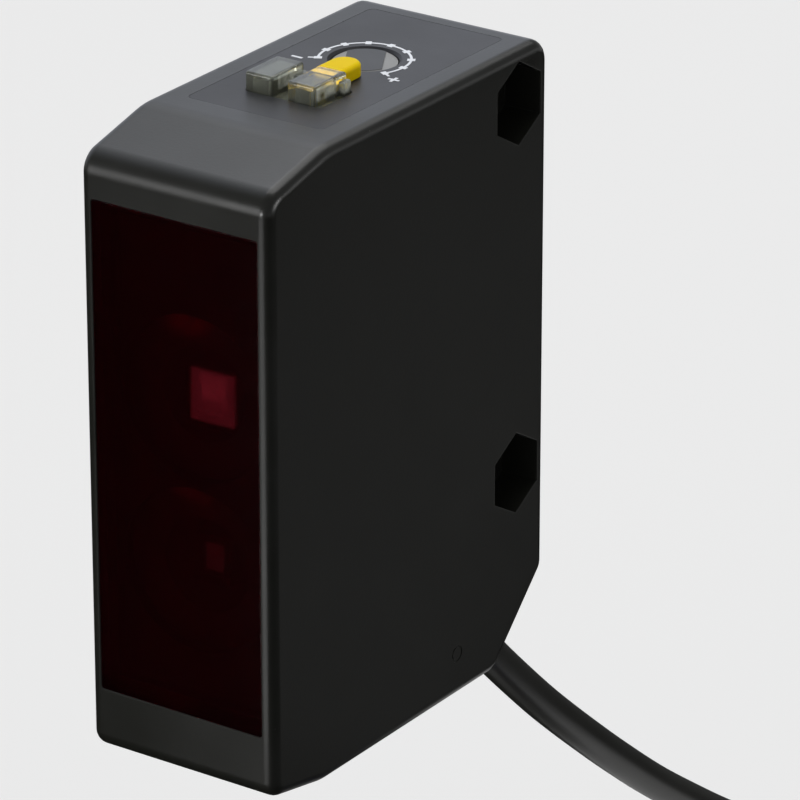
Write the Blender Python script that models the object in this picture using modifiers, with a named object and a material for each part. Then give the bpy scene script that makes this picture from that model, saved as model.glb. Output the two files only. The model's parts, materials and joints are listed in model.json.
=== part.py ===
# Background suppression sensor, a slim block-shaped photoelectric sensor with a pre-wired cable.
# Sizes are in metres. The world origin is on the left side face, midway between the two mounting holes.
# Inside the file x runs from the middle of the width, y backwards from the front face, z up from the bottom.

import math

import bmesh
import bpy
from mathutils import Matrix, Vector

MM = 0.001

# Body
BODY_WIDTH = 16.8 * MM
BODY_HEIGHT = 50.0 * MM
BODY_DEPTH = 35.8 * MM
TOP_SLOPE_RUN = 7.3 * MM
TOP_SLOPE_DROP = 1.8 * MM
BOTTOM_SLOPE_RUN = 6.4 * MM
BOTTOM_SLOPE_RISE = 1.2 * MM
REAR_CHAMFER = 6.6 * MM
FRONT_BOTTOM_RADIUS = 1.4 * MM
FRONT_TOP_RADIUS = 2.0 * MM
TOP_SLOPE_RADIUS = 6.0 * MM
REAR_TOP_RADIUS = 1.8 * MM
REAR_LOW_RADIUS = 1.5 * MM
BOTTOM_REAR_RADIUS = 2.0 * MM
BOTTOM_SLOPE_RADIUS = 4.0 * MM
SIDE_EDGE_RADIUS = 0.75 * MM
WALL = 1.4 * MM
FRONT_WALL = 2.6 * MM
SIDE_WALL = 1.3 * MM
COVER_THICKNESS = 1.3 * MM
COVER_EDGE_BEVEL = 0.2 * MM
SMALLEST_INNER_RADIUS = 0.4 * MM

# Clearances between neighbours
FIT = 0.12 * MM
RUNNING_FIT = 0.08 * MM
CORD_GAP = 0.3 * MM

# Mounting holes, 30 mm apart
HOLE_FROM_REAR = 4.05 * MM
HOLE_FROM_TOP = 4.07 * MM
LOWER_HOLE_HEIGHT = 15.93 * MM
HOLE_RADIUS = 1.65 * MM
NUT_POCKET_FLATS = 5.82 * MM
NUT_POCKET_DEPTH = 3.2 * MM
NUT_BOSS_WALL = 1.0 * MM
NUT_BOSS_FLOOR = 1.2 * MM
HOLE_BOSS_WALL = 1.35 * MM

# Front window
WINDOW_BEVEL = 0.15 * MM
WINDOW_SIDE_FRAME = 1.1 * MM
WINDOW_LOW = 6.05 * MM
WINDOW_FROM_TOP = 5.1 * MM
WINDOW_THICKNESS = 1.5 * MM
WINDOW_SINK = 0.06 * MM
WINDOW_LEDGE = 0.8 * MM
WINDOW_CORNER = 0.35 * MM

# Optics
HOLDER_LOW = 5.0 * MM
HOLDER_UNDER_BOARD = 0.6 * MM
HOLDER_DEPTH = 15.2 * MM
LENS_SIDE_WALL = 0.58 * MM
LENS_GAP = 0.8 * MM
LENS_PAIR_DROP = 0.7 * MM
LENS_EDGE = 0.7 * MM
LENS_CROWN = 0.8 * MM
LENS_SEAT_LEDGE = 0.7 * MM
BARREL_CLEARANCE = 0.05 * MM
BLOCK_BEHIND_LENS = 0.78 * MM
EMITTER_BELOW_AXIS = 0.7 * MM
EMITTER_BLOCK_SIZE = (4.1 * MM, 4.4 * MM)
EMITTER_MOUTH_SIZE = (2.3 * MM, 2.3 * MM)
RECEIVER_ABOVE_AXIS = 0.2 * MM
RECEIVER_BLOCK_SIZE = (3.2 * MM, 3.7 * MM)
RECEIVER_MOUTH_SIZE = (2.0 * MM, 2.5 * MM)
CHIP_SINK = 0.5 * MM
OPTIC_BLOCK_BEVEL = 0.1 * MM
CHIP_LENGTH = 1.6 * MM

# Boards and what they carry
BOARD_THICKNESS = 1.0 * MM
MAIN_BOARD_LOW = 4.6 * MM
MAIN_BOARD_UNDER_TOP_BOARD = 0.7 * MM
TOP_BOARD_THICKNESS = 0.8 * MM
TOP_BOARD_BEFORE_BLOCKS = 2.93 * MM
TOP_BOARD_BOSS_GAP = 0.4 * MM
CHIP_BEVEL = 0.15 * MM
CAN_BEVEL = 0.2 * MM
LINK_SIZE = (8.0 * MM, 2.2 * MM, 2.6 * MM)
CONTROLLER_SIDE = 7.0 * MM
CONTROLLER_THICKNESS = 1.0 * MM
ROW_UNDER_LINK = 1.28 * MM
DRIVER_X = -3.2 * MM
DRIVER_SIZE = (4.0 * MM, 1.3 * MM, 3.6 * MM)
CAPACITOR_X = 2.9 * MM
CAPACITOR_RADIUS = 2.0 * MM
CAPACITOR_LENGTH = 5.0 * MM
SHIELD_SIZE = (8.0 * MM, 2.0 * MM, 9.0 * MM)
SHIELD_SHEET = 0.25 * MM
AMPLIFIER_SIZE = (4.0 * MM, 1.1 * MM, 4.0 * MM)

# Top face
FILM_BEFORE_MIDDLE = 0.565 * MM
FILM_REAR_MARGIN = 2.6 * MM
FILM_SIDE_MARGIN = 2.4 * MM
FILM_THICKNESS = 0.25 * MM
FILM_CORNER = 0.5 * MM

# Adjuster dial
DIAL_BEFORE_HOLE = 8.0 * MM
DIAL_RADIUS = 2.42 * MM
DIAL_SIDE_GAP = 0.18 * MM
DIAL_WELL_DEPTH = 1.6 * MM
DIAL_RIM_SINK = 0.35 * MM
DIAL_BAR_SINK = 0.1 * MM
DIAL_BAR_WIDTH = 2.88 * MM
DIAL_BAR_STEP = 0.12 * MM
DIAL_SEGMENT_DEPTH = 0.55 * MM
DIAL_EDGE_CHAMFER = 0.25 * MM
DIAL_BOSS_WALL = 1.0 * MM
DIAL_BOSS_FLOOR = 1.8 * MM
DIAL_SHAFT_RADIUS = 0.9 * MM
DIAL_SHAFT_IN_POT = 1.0 * MM
DIAL_POINTER_ANGLE = 120.0
SEAL_WIRE_RADIUS = 0.35 * MM
SEAL_POCKET_DEPTH = 0.9 * MM
POT_SIDE = 5.2 * MM
POT_HEIGHT = 1.56 * MM

# Indicator window and lamps
BLOCK_LENGTH = 4.09 * MM
BLOCK_RISE = 1.45 * MM
BLOCK_BEVEL = 0.2 * MM
LEFT_BLOCK_X = (-3.4 * MM, -0.95 * MM)
RIGHT_BLOCK_X = (0.35 * MM, 2.85 * MM)
BRIDGE_LENGTH = 1.62 * MM
BRIDGE_RISE = 0.9 * MM
LUG_WIDTH = 0.45 * MM
LUG_LENGTH = 1.12 * MM
LUG_RISE = 1.0 * MM
INDICATOR_FLANGE = 0.9 * MM
INDICATOR_FLANGE_MARGIN = 0.6 * MM
PLATEAU_MARGIN = 0.04 * MM
BLOCK_ROOF = 0.5 * MM
YELLOW_X = (-0.3 * MM, 2.1 * MM)
YELLOW_BEFORE_WELL = 0.05 * MM
YELLOW_LENGTH = 3.58 * MM
YELLOW_RISE = 1.17 * MM
YELLOW_BEVEL = 0.3 * MM
YELLOW_TONGUE_LENGTH = 1.92 * MM
YELLOW_TONGUE_RISE = 0.8 * MM
YELLOW_TONGUE_OVERLAP = 1.2 * MM
YELLOW_STEM_SIDE = 1.0 * MM
YELLOW_STEM_INSET = 0.92 * MM
LAMP_SIZE = (1.6 * MM, 1.6 * MM, 0.9 * MM)
LAMP_BEVEL = 0.1 * MM
STEM_FROM_LAMP = 0.36 * MM
JOIN_OVERLAP = 0.3 * MM
JOIN_INSET = 0.1 * MM
FLUSH_STEP = 0.01 * MM

# Cable
CABLE_RADIUS = 1.5 * MM
CABLE_INSIDE = 5.5 * MM
BUSH_RADIUS = 2.4 * MM
BUSH_PROUD = 0.25 * MM
BUSH_FLANGE_RADIUS = 3.3 * MM
BUSH_FLANGE = 1.2 * MM
CORE_RADIUS = 0.38 * MM
CORE_SPACING = 0.9 * MM
CORE_PAD_SPACING = 2.5 * MM
CORE_PAD_HEIGHT = 8.0 * MM
CORE_PAD_ROOM = 1.5 * MM
CORE_STRAIGHT = 1.6 * MM
CORE_BEND = (3.6 * MM, 0.9 * MM)
CORE_LANDING = 1.4 * MM
CORE_POINT_SPACING = 0.9 * MM
CORE_SIDES = {"brown": -1, "blue": 0, "black": 1}

# Route of the cable in millimetres, counted from the point where it leaves the rear chamfer
CABLE_ROUTE = (
    (0.0, 4.2, -4.2),
    (0.0, 8.7, -9.0),
    (0.0, 14.7, -14.8),
    (0.0, 18.7, -18.4),
    (0.0, 22.9, -22.0),
    (0.0, 27.1, -25.5),
    (0.0, 33.0, -30.2),
    (0.1, 39.0, -34.6),
    (0.8, 45.4, -39.1),
    (3.0, 51.6, -43.0),
    (7.2, 57.0, -45.8),
    (12.8, 60.4, -46.8),
    (19.2, 60.4, -46.85),
    (24.6, 56.8, -46.85),
    (27.2, 50.6, -46.85),
    (26.9, 42.0, -46.8),
    (25.4, 33.0, -46.6),
    (23.7, 24.5, -46.3),
    (22.6, 15.5, -46.0),
)
CABLE_POINT_SPACING = 3.0 * MM
FLOOR_BELOW_EXIT = 48.35 * MM
COIL_BEHIND_EXIT = 3.35 * MM
COIL_ROWS = 4
COIL_COLUMNS = 4
COIL_MEAN_RADIUS = 18.0 * MM
TIE_THICKNESS = 0.8 * MM
TIE_WIDTH = 2.5 * MM
TIE_ANGLE = 280.0
TAIL_FROM_ANGLE = 120.0
TAIL_TO_ANGLE = 60.0
LEAD_ARC = 75.0
LEAD_RADIUS = 0.55 * MM
LEAD_SPACING = 1.2 * MM
LEAD_SPREAD = 1.9 * MM
LEAD_DROP = 0.3 * MM
LEAD_SETTLING = 4
TIP_RADIUS = 0.3 * MM
TIP_LENGTH = 5.0 * MM

# Smoothness
ROUND_SIDES = 36
SMALL_SIDES = 20
COIL_SIDES = 40
ARC_STEP = 15.0
COARSE_ARC_STEP = 30.0
FINE_MERGE = 0.001 * MM
OVERCUT = 1.0 * MM

AXIS_TURNS = {"X": (0, math.pi / 2, 0), "Y": (math.pi / 2, 0, 0), "Z": (0, 0, 0)}
PLANE_TURNS = {"X": (math.pi / 2, 0, math.pi / 2), "Y": (math.pi / 2, 0, 0), "Z": (0, 0, 0)}

# Places worked out from the sizes above
HALF_WIDTH = BODY_WIDTH / 2
INNER_RIGHT = HALF_WIDTH - SIDE_WALL
INNER_LEFT = -HALF_WIDTH + COVER_THICKNESS
HOLE_Y = BODY_DEPTH - HOLE_FROM_REAR
HOLE_HEIGHTS = (BODY_HEIGHT - HOLE_FROM_TOP, LOWER_HOLE_HEIGHT)
HOLE_BOSS_RADIUS = HOLE_RADIUS + HOLE_BOSS_WALL
NUT_POCKET_CORNER = NUT_POCKET_FLATS / math.sqrt(3)
NUT_BOSS_RADIUS = NUT_POCKET_CORNER + NUT_BOSS_WALL
TOP_INSIDE = BODY_HEIGHT - WALL
WINDOW_SIDE = HALF_WIDTH - WINDOW_SIDE_FRAME
WINDOW_HIGH = BODY_HEIGHT - WINDOW_FROM_TOP
DIAL_Y = HOLE_Y - DIAL_BEFORE_HOLE
DIAL_WELL_RADIUS = DIAL_RADIUS + DIAL_SIDE_GAP
DIAL_WELL_FLOOR = BODY_HEIGHT - DIAL_WELL_DEPTH
DIAL_BOSS_BOTTOM = DIAL_WELL_FLOOR - DIAL_BOSS_FLOOR
DIAL_BOSS_RADIUS = DIAL_WELL_RADIUS + DIAL_BOSS_WALL
POT_TOP = DIAL_BOSS_BOTTOM - FIT
POT_BOTTOM = POT_TOP - POT_HEIGHT
YELLOW_REAR_Y = DIAL_Y - DIAL_WELL_RADIUS - YELLOW_BEFORE_WELL
BLOCK_HIGH_Y = YELLOW_REAR_Y - YELLOW_LENGTH
BLOCK_LOW_Y = BLOCK_HIGH_Y - BLOCK_LENGTH
YELLOW_STEM_Y = BLOCK_HIGH_Y - YELLOW_STEM_INSET
YELLOW_TONGUE_FRONT_Y = BLOCK_HIGH_Y - YELLOW_TONGUE_LENGTH
FILM_FRONT = (TOP_SLOPE_RUN + BLOCK_LOW_Y) / 2 - FILM_BEFORE_MIDDLE
TOP_BOARD_TOP = POT_BOTTOM - FIT
TOP_BOARD_UNDERSIDE = TOP_BOARD_TOP - TOP_BOARD_THICKNESS
TOP_BOARD_FRONT = BLOCK_LOW_Y - TOP_BOARD_BEFORE_BLOCKS
TOP_BOARD_REAR = HOLE_Y - NUT_BOSS_RADIUS - TOP_BOARD_BOSS_GAP
HOLDER_FRONT = FRONT_WALL + FIT
HOLDER_REAR = HOLDER_FRONT + HOLDER_DEPTH
HOLDER_SIDE = INNER_RIGHT - FIT
HOLDER_HIGH = TOP_BOARD_UNDERSIDE - HOLDER_UNDER_BOARD
LENS_RADIUS = HOLDER_SIDE - LENS_SIDE_WALL
LENS_MIDDLE = (HOLDER_LOW + HOLDER_HIGH) / 2 - LENS_PAIR_DROP
EMITTER_LENS_HEIGHT = LENS_MIDDLE + LENS_RADIUS + LENS_GAP / 2
RECEIVER_LENS_HEIGHT = LENS_MIDDLE - LENS_RADIUS - LENS_GAP / 2
EMITTER_HEIGHT = EMITTER_LENS_HEIGHT - EMITTER_BELOW_AXIS
RECEIVER_HEIGHT = RECEIVER_LENS_HEIGHT + RECEIVER_ABOVE_AXIS
BLOCK_REACH = math.hypot(EMITTER_BLOCK_SIZE[0] / 2, EMITTER_BLOCK_SIZE[1] / 2 + EMITTER_BELOW_AXIS)
BARREL_REAR_RADIUS = BLOCK_REACH + BARREL_CLEARANCE
BLOCK_FRONT = HOLDER_FRONT + LENS_CROWN + LENS_EDGE + BLOCK_BEHIND_LENS
MAIN_BOARD_FRONT = HOLDER_REAR + FIT
MAIN_BOARD_REAR = MAIN_BOARD_FRONT + BOARD_THICKNESS
MAIN_BOARD_HIGH = TOP_BOARD_UNDERSIDE - MAIN_BOARD_UNDER_TOP_BOARD
LINK_HEIGHT = TOP_BOARD_UNDERSIDE - FIT - LINK_SIZE[2] / 2
ROW_HEIGHT = LINK_HEIGHT - LINK_SIZE[2] / 2 - ROW_UNDER_LINK - CAPACITOR_RADIUS
EXIT_Y = BODY_DEPTH - REAR_CHAMFER / 2
EXIT_Z = REAR_CHAMFER / 2
EXIT = Vector((0, EXIT_Y, EXIT_Z))
EXIT_WAY = Vector((0, math.sqrt(0.5), -math.sqrt(0.5)))
EXIT_TURN = (math.radians(-135), 0, 0)
FLOOR_Z = EXIT_Z - FLOOR_BELOW_EXIT
COIL_SECTION_WIDTH = COIL_COLUMNS * 2 * CABLE_RADIUS
COIL_SECTION_HEIGHT = COIL_ROWS * 2 * CABLE_RADIUS
COIL_BASE = FLOOR_Z + TIE_THICKNESS + CORD_GAP
COIL_TOP = COIL_BASE + COIL_SECTION_HEIGHT
COIL_Y = EXIT_Y + COIL_BEHIND_EXIT

for old in list(bpy.data.objects):
    bpy.data.objects.remove(old, do_unlink=True)


def new_collection(name):
    group = bpy.data.collections.new(name)
    bpy.context.scene.collection.children.link(group)
    return group


PARTS = new_collection("background_suppression_sensor")
CUTTERS = new_collection("cutters")


def add_empty(name, location, parent=None):
    empty = bpy.data.objects.new(name, None)
    empty.empty_display_size = 5 * MM
    empty.location = location
    empty.parent = parent
    PARTS.objects.link(empty)
    return empty


DATUM = add_empty("body_datum", (HALF_WIDTH, -HOLE_Y, -sum(HOLE_HEIGHTS) / 2))


def material(name, colour, roughness, metallic=0.0, transmission=0.0):
    made = bpy.data.materials.new(name)
    made.use_nodes = True
    shader = made.node_tree.nodes["Principled BSDF"]
    shader.inputs["Base Color"].default_value = (*colour, 1.0)
    shader.inputs["Roughness"].default_value = roughness
    shader.inputs["Metallic"].default_value = metallic
    shader.inputs["Transmission Weight"].default_value = transmission
    return made


def add_object(name, mesh, finish=None, location=(0, 0, 0), rotation=(0, 0, 0), parent=DATUM):
    thing = bpy.data.objects.new(name, mesh)
    thing.location = location
    thing.rotation_euler = rotation
    thing.parent = parent
    if finish:
        mesh.materials.append(finish)
        PARTS.objects.link(thing)
        return thing
    CUTTERS.objects.link(thing)
    thing.hide_render = True
    thing.display_type = "WIRE"
    return thing


def shade(mesh):
    mesh.shade_smooth()
    mesh.set_sharp_from_angle(angle=math.radians(35))


def add_box(name, low, high, finish=None, bevel=0.0):
    low, high = Vector(low), Vector(high)
    shape = bmesh.new()
    bmesh.ops.create_cube(shape, size=1.0)
    bmesh.ops.scale(shape, vec=high - low, verts=shape.verts)
    mesh = bpy.data.meshes.new(name)
    shape.to_mesh(mesh)
    shape.free()
    thing = add_object(name, mesh, finish, (low + high) / 2)
    if bevel:
        add_bevel(thing, bevel, 2)
    return thing


def add_cone(name, centre, radii, length, axis="Z", sides=ROUND_SIDES, finish=None, turn=None):
    shape = bmesh.new()
    bmesh.ops.create_cone(
        shape, cap_ends=True, segments=sides, radius1=radii[0], radius2=radii[1], depth=length
    )
    mesh = bpy.data.meshes.new(name)
    shape.to_mesh(mesh)
    shape.free()
    shade(mesh)
    return add_object(name, mesh, finish, centre, turn or AXIS_TURNS[axis])


def add_cylinder(name, centre, radius, length, axis="Z", sides=ROUND_SIDES, finish=None):
    return add_cone(name, centre, (radius, radius), length, axis, sides, finish)


def mesh_of_curve(guide, scale):
    graph = bpy.context.evaluated_depsgraph_get()
    graph.update()
    mesh = bpy.data.meshes.new_from_object(guide.evaluated_get(graph))
    mesh.transform(Matrix.Scale(scale, 4))
    shape = bmesh.new()
    shape.from_mesh(mesh)
    bmesh.ops.remove_doubles(shape, verts=shape.verts, dist=FINE_MERGE)
    bmesh.ops.recalc_face_normals(shape, faces=shape.faces)
    shape.to_mesh(mesh)
    shape.free()
    return mesh


def add_outline(name, rings, low, high, axis="Z", finish=None, rotation=None, location=None):
    # The flat curve is drawn in millimetres, where its fill is exact, and its mesh is scaled to metres.
    curve = bpy.data.curves.new(name + "_curve", "CURVE")
    curve.dimensions = "2D"
    curve.fill_mode = "BOTH"
    curve.extrude = (high - low) / 2 / MM
    for ring in rings:
        spline = curve.splines.new("POLY")
        spline.points.add(len(ring) - 1)
        for point, (across, up) in zip(spline.points, ring):
            point.co = (across / MM, up / MM, 0, 1)
        spline.use_cyclic_u = True
    guide = bpy.data.objects.new(name + "_guide", curve)
    CUTTERS.objects.link(guide)
    mesh = mesh_of_curve(guide, MM)
    bpy.data.objects.remove(guide, do_unlink=True)
    bpy.data.curves.remove(curve)
    shade(mesh)
    middle = (low + high) / 2
    if location is None:
        location = {"X": (middle, 0, 0), "Y": (0, middle, 0), "Z": (0, 0, middle)}[axis]
    return add_object(name, mesh, finish, location, rotation or PLANE_TURNS[axis])


def rounded(corners, arc_step=ARC_STEP):
    """Points of a closed outline whose corners are (across, up, radius)."""
    points = []
    count = len(corners)
    for place in range(count):
        here = Vector(corners[place][:2])
        before = (Vector(corners[place - 1][:2]) - here).normalized()
        after = (Vector(corners[(place + 1) % count][:2]) - here).normalized()
        opening = before.angle(after)
        radius = corners[place][2]
        if radius <= 0:
            points.append(tuple(here))
            continue
        centre = here + (before + after).normalized() * radius / math.sin(opening / 2)
        start = here + before * radius / math.tan(opening / 2) - centre
        sweep = math.pi - opening
        turn = sweep if start.x * (here - centre).y - start.y * (here - centre).x > 0 else -sweep
        steps = max(1, math.ceil(math.degrees(sweep) / arc_step))
        for step in range(steps + 1):
            points.append(tuple(centre + Matrix.Rotation(turn * step / steps, 2) @ start))
    return points


def rectangle(low, high, radius=0.0):
    ends = ((low[0], low[1]), (low[0], high[1]), (high[0], high[1]), (high[0], low[1]))
    return rounded([(*end, radius) for end in ends])


def circle(centre, radius, sides=ROUND_SIDES):
    turns = [2 * math.pi * side / sides for side in range(sides)]
    return [(centre[0] + radius * math.cos(t), centre[1] + radius * math.sin(t)) for t in turns]


def inset(corners, distances):
    """The outline moved inwards, edge by edge, for corners that run clockwise."""
    lines = []
    count = len(corners)
    for place in range(count):
        start = Vector(corners[place][:2])
        end = Vector(corners[(place + 1) % count][:2])
        way = (end - start).normalized()
        lines.append((start + Vector((way.y, -way.x)) * distances[place], way))
    moved = []
    for place in range(count):
        (a, along_a), (b, along_b) = lines[place - 1], lines[place]
        cross = along_a.x * along_b.y - along_a.y * along_b.x
        share = ((b - a).x * along_b.y - (b - a).y * along_b.x) / cross
        radius = corners[place][2] - max(distances[place - 1], distances[place])
        moved.append((*(a + along_a * share), max(radius, SMALLEST_INNER_RADIUS)))
    return moved


def add_turned(
    name, profile, finish, location=(0, 0, 0), rotation=(0, 0, 0), sides=ROUND_SIDES, closed=False
):
    count = len(profile)
    edges = [(place, place + 1) for place in range(count - 1)]
    if closed:
        edges.append((count - 1, 0))
    mesh = bpy.data.meshes.new(name)
    mesh.from_pydata([(radius, 0, height) for radius, height in profile], edges, [])
    thing = add_object(name, mesh, finish, location, rotation)
    screw = thing.modifiers.new("turn", "SCREW")
    screw.axis = "Z"
    screw.steps = sides
    screw.render_steps = sides
    screw.use_merge_vertices = True
    screw.merge_threshold = FINE_MERGE
    screw.use_smooth_shade = True
    return thing


def add_bevel(thing, width, segments, angle=40.0):
    bevel = thing.modifiers.new("edges", "BEVEL")
    bevel.width = width
    bevel.segments = segments
    bevel.limit_method = "ANGLE"
    bevel.angle_limit = math.radians(angle)
    return bevel


def cut(thing, cutter):
    boolean = thing.modifiers.new("cut " + cutter.name, "BOOLEAN")
    boolean.operation = "DIFFERENCE"
    boolean.object = cutter


def join(thing, other):
    boolean = thing.modifiers.new("join " + other.name, "BOOLEAN")
    boolean.operation = "UNION"
    boolean.object = other


def smooth_route(points, spacing):
    """Evenly spaced points on a smooth curve through the given points."""
    ends = [points[0] * 2 - points[1], *points, points[-1] * 2 - points[-2]]
    fine = []
    steps = 24
    for place in range(len(points) - 1):
        a, b, c, d = ends[place : place + 4]
        for step in range(steps):
            t = step / steps
            fine.append(
                0.5 * (2 * b + (c - a) * t + (2 * a - 5 * b + 4 * c - d) * t**2)
                + 0.5 * (3 * b - a - 3 * c + d) * t**3
            )
    fine.append(points[-1])
    total = sum((b - a).length for a, b in zip(fine, fine[1:]))
    count = max(2, round(total / spacing))
    wanted = [total * place / count for place in range(count)]
    even, walked, place = [], 0.0, 0
    for distance in wanted:
        while walked + (fine[place + 1] - fine[place]).length < distance:
            walked += (fine[place + 1] - fine[place]).length
            place += 1
        stretch = fine[place + 1] - fine[place]
        even.append(fine[place] + stretch.normalized() * (distance - walked))
    return even + [fine[-1]]


def add_tube(name, points, radius, finish):
    curve = bpy.data.curves.new(name, "CURVE")
    curve.dimensions = "3D"
    curve.bevel_depth = radius
    curve.bevel_resolution = 2
    curve.use_fill_caps = True
    curve.materials.append(finish)
    spline = curve.splines.new("POLY")
    spline.points.add(len(points) - 1)
    for point, place in zip(spline.points, points):
        point.co = (*place, 1)
    tube = bpy.data.objects.new(name, curve)
    tube.parent = DATUM
    PARTS.objects.link(tube)
    return tube


CASE_BLACK = material("case_black", (0.016, 0.016, 0.015), 0.42)
WINDOW_RED = material("window_red", (0.09, 0.004, 0.004), 0.05, transmission=0.9)
HOLDER_BLACK = material("holder_black", (0.01, 0.01, 0.01), 0.6)
LENS_CLEAR = material("lens_clear", (0.9, 0.9, 0.9), 0.05, transmission=0.95)
EMITTER_RED = material("emitter_red", (0.4, 0.004, 0.02), 0.3)
CHIP_DARK = material("chip_dark", (0.03, 0.012, 0.012), 0.2)
BOARD_GREEN = material("board_green", (0.02, 0.12, 0.05), 0.4)
CHIP_BLACK = material("chip_black", (0.02, 0.02, 0.022), 0.5)
TINNED = material("tinned_steel", (0.62, 0.62, 0.6), 0.3, metallic=1.0)
FILM_GREY = material("film_black", (0.02, 0.02, 0.021), 0.35)
DIAL_GREY = material("dial_grey", (0.03, 0.03, 0.032), 0.4)
SEAL_RUBBER = material("seal_rubber", (0.012, 0.012, 0.012), 0.75)
SMOKE = material("indicator_smoke", (0.42, 0.43, 0.38), 0.08, transmission=0.85)
YELLOW = material("yellow_lens", (0.9, 0.55, 0.01), 0.35)
LAMP_GREEN = material("lamp_green", (0.1, 0.5, 0.12), 0.3)
LAMP_ORANGE = material("lamp_orange", (0.8, 0.25, 0.03), 0.3)
BUSH_RUBBER = material("bush_rubber", (0.014, 0.014, 0.014), 0.65)
CABLE_BLACK = material("cable_black", (0.015, 0.015, 0.014), 0.45)
CORE_COLOURS = {
    "brown": material("core_brown", (0.16, 0.05, 0.02), 0.45),
    "blue": material("core_blue", (0.02, 0.08, 0.4), 0.45),
    "black": material("core_black", (0.015, 0.015, 0.015), 0.45),
}
COPPER = material("tinned_copper", (0.7, 0.66, 0.6), 0.3, metallic=1.0)
TIE_BLACK = material("tie_black", (0.02, 0.02, 0.02), 0.4)


def body_corners():
    return [
        (0, BOTTOM_SLOPE_RISE, FRONT_BOTTOM_RADIUS),
        (0, BODY_HEIGHT - TOP_SLOPE_DROP, FRONT_TOP_RADIUS),
        (TOP_SLOPE_RUN, BODY_HEIGHT, TOP_SLOPE_RADIUS),
        (BODY_DEPTH, BODY_HEIGHT, REAR_TOP_RADIUS),
        (BODY_DEPTH, REAR_CHAMFER, REAR_LOW_RADIUS),
        (BODY_DEPTH - REAR_CHAMFER, 0, BOTTOM_REAR_RADIUS),
        (BOTTOM_SLOPE_RUN, 0, BOTTOM_SLOPE_RADIUS),
    ]


def cavity_corners(extra=0.0):
    distances = [FRONT_WALL + extra] + [WALL + extra] * (len(body_corners()) - 1)
    return inset(body_corners(), distances)


def make_cavity():
    # The hollow of the case, with the bosses and the dial's boss left standing in it.
    cavity = add_outline(
        "cavity_cutter", [rounded(cavity_corners())], -HALF_WIDTH - OVERCUT, INNER_RIGHT, "X"
    )
    boss_left = INNER_LEFT + FIT
    nut_boss_left = HALF_WIDTH - NUT_POCKET_DEPTH - NUT_BOSS_FLOOR
    right = INNER_RIGHT + OVERCUT
    bosses = (("hole", boss_left, HOLE_BOSS_RADIUS), ("nut", nut_boss_left, NUT_BOSS_RADIUS))
    for place, height in enumerate(HOLE_HEIGHTS):
        for part, left, radius in bosses:
            middle = ((left + right) / 2, HOLE_Y, height)
            cut(cavity, add_cylinder(f"{part}_boss_{place + 1}", middle, radius, right - left, "X"))
    dial_boss_length = TOP_INSIDE + OVERCUT - DIAL_BOSS_BOTTOM
    dial_boss_middle = DIAL_BOSS_BOTTOM + dial_boss_length / 2
    cut(cavity, add_cylinder("dial_boss", (0, DIAL_Y, dial_boss_middle), DIAL_BOSS_RADIUS, dial_boss_length))
    return cavity


def window_outline(margin, corner):
    side = WINDOW_SIDE + margin
    return rectangle((-side, WINDOW_LOW - margin), (side, WINDOW_HIGH + margin), corner)


def cut_window_opening(case):
    recess_rear = WINDOW_SINK + WINDOW_THICKNESS + FIT
    recess = window_outline(FIT, WINDOW_CORNER + FIT)
    sight = window_outline(-WINDOW_LEDGE, WINDOW_CORNER)
    cut(case, add_outline("window_recess", [recess], -OVERCUT, recess_rear, "Y"))
    cut(case, add_outline("window_sight", [sight], 0, FRONT_WALL + OVERCUT, "Y"))


def film_outline(margin=0.0):
    side = HALF_WIDTH - FILM_SIDE_MARGIN + margin
    rear = BODY_DEPTH - FILM_REAR_MARGIN + margin
    return rectangle((-side, FILM_FRONT - margin), (side, rear), FILM_CORNER + margin)


def indicator_opening(margin):
    low = (LEFT_BLOCK_X[0] - margin, BLOCK_LOW_Y - margin)
    high = (RIGHT_BLOCK_X[1] + LUG_WIDTH + margin, BLOCK_HIGH_Y + margin)
    return rectangle(low, high, SMALLEST_INNER_RADIUS)


def cut_top_openings(case):
    film_floor = BODY_HEIGHT - FILM_THICKNESS - FIT
    above = BODY_HEIGHT + OVERCUT
    below = TOP_INSIDE - OVERCUT
    cut(case, add_outline("film_recess", [film_outline(FIT)], film_floor, above))
    cut(case, add_outline("indicator_slot", [indicator_opening(FIT)], below, above))
    well_length = DIAL_WELL_DEPTH + OVERCUT
    well_middle = DIAL_WELL_FLOOR + well_length / 2
    cut(case, add_cylinder("dial_well", (0, DIAL_Y, well_middle), DIAL_WELL_RADIUS, well_length))
    seal_radius = DIAL_SHAFT_RADIUS + 2 * SEAL_WIRE_RADIUS + 2 * FIT
    seal_length = SEAL_POCKET_DEPTH + OVERCUT
    seal_middle = DIAL_WELL_FLOOR - SEAL_POCKET_DEPTH + seal_length / 2
    cut(case, add_cylinder("seal_pocket", (0, DIAL_Y, seal_middle), seal_radius, seal_length))
    shaft_length = DIAL_BOSS_FLOOR + 2 * OVERCUT
    shaft_middle = DIAL_WELL_FLOOR - DIAL_BOSS_FLOOR / 2
    shaft_hole = DIAL_SHAFT_RADIUS + RUNNING_FIT
    cut(case, add_cylinder("shaft_hole", (0, DIAL_Y, shaft_middle), shaft_hole, shaft_length))


def nut_pocket_outline(height):
    # The flats face the front and the rear, and the points stand up and down.
    turns = [math.radians(90 + 60 * side) for side in range(6)]
    corner = NUT_POCKET_CORNER
    return [(HOLE_Y + corner * math.cos(turn), height + corner * math.sin(turn)) for turn in turns]


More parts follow.
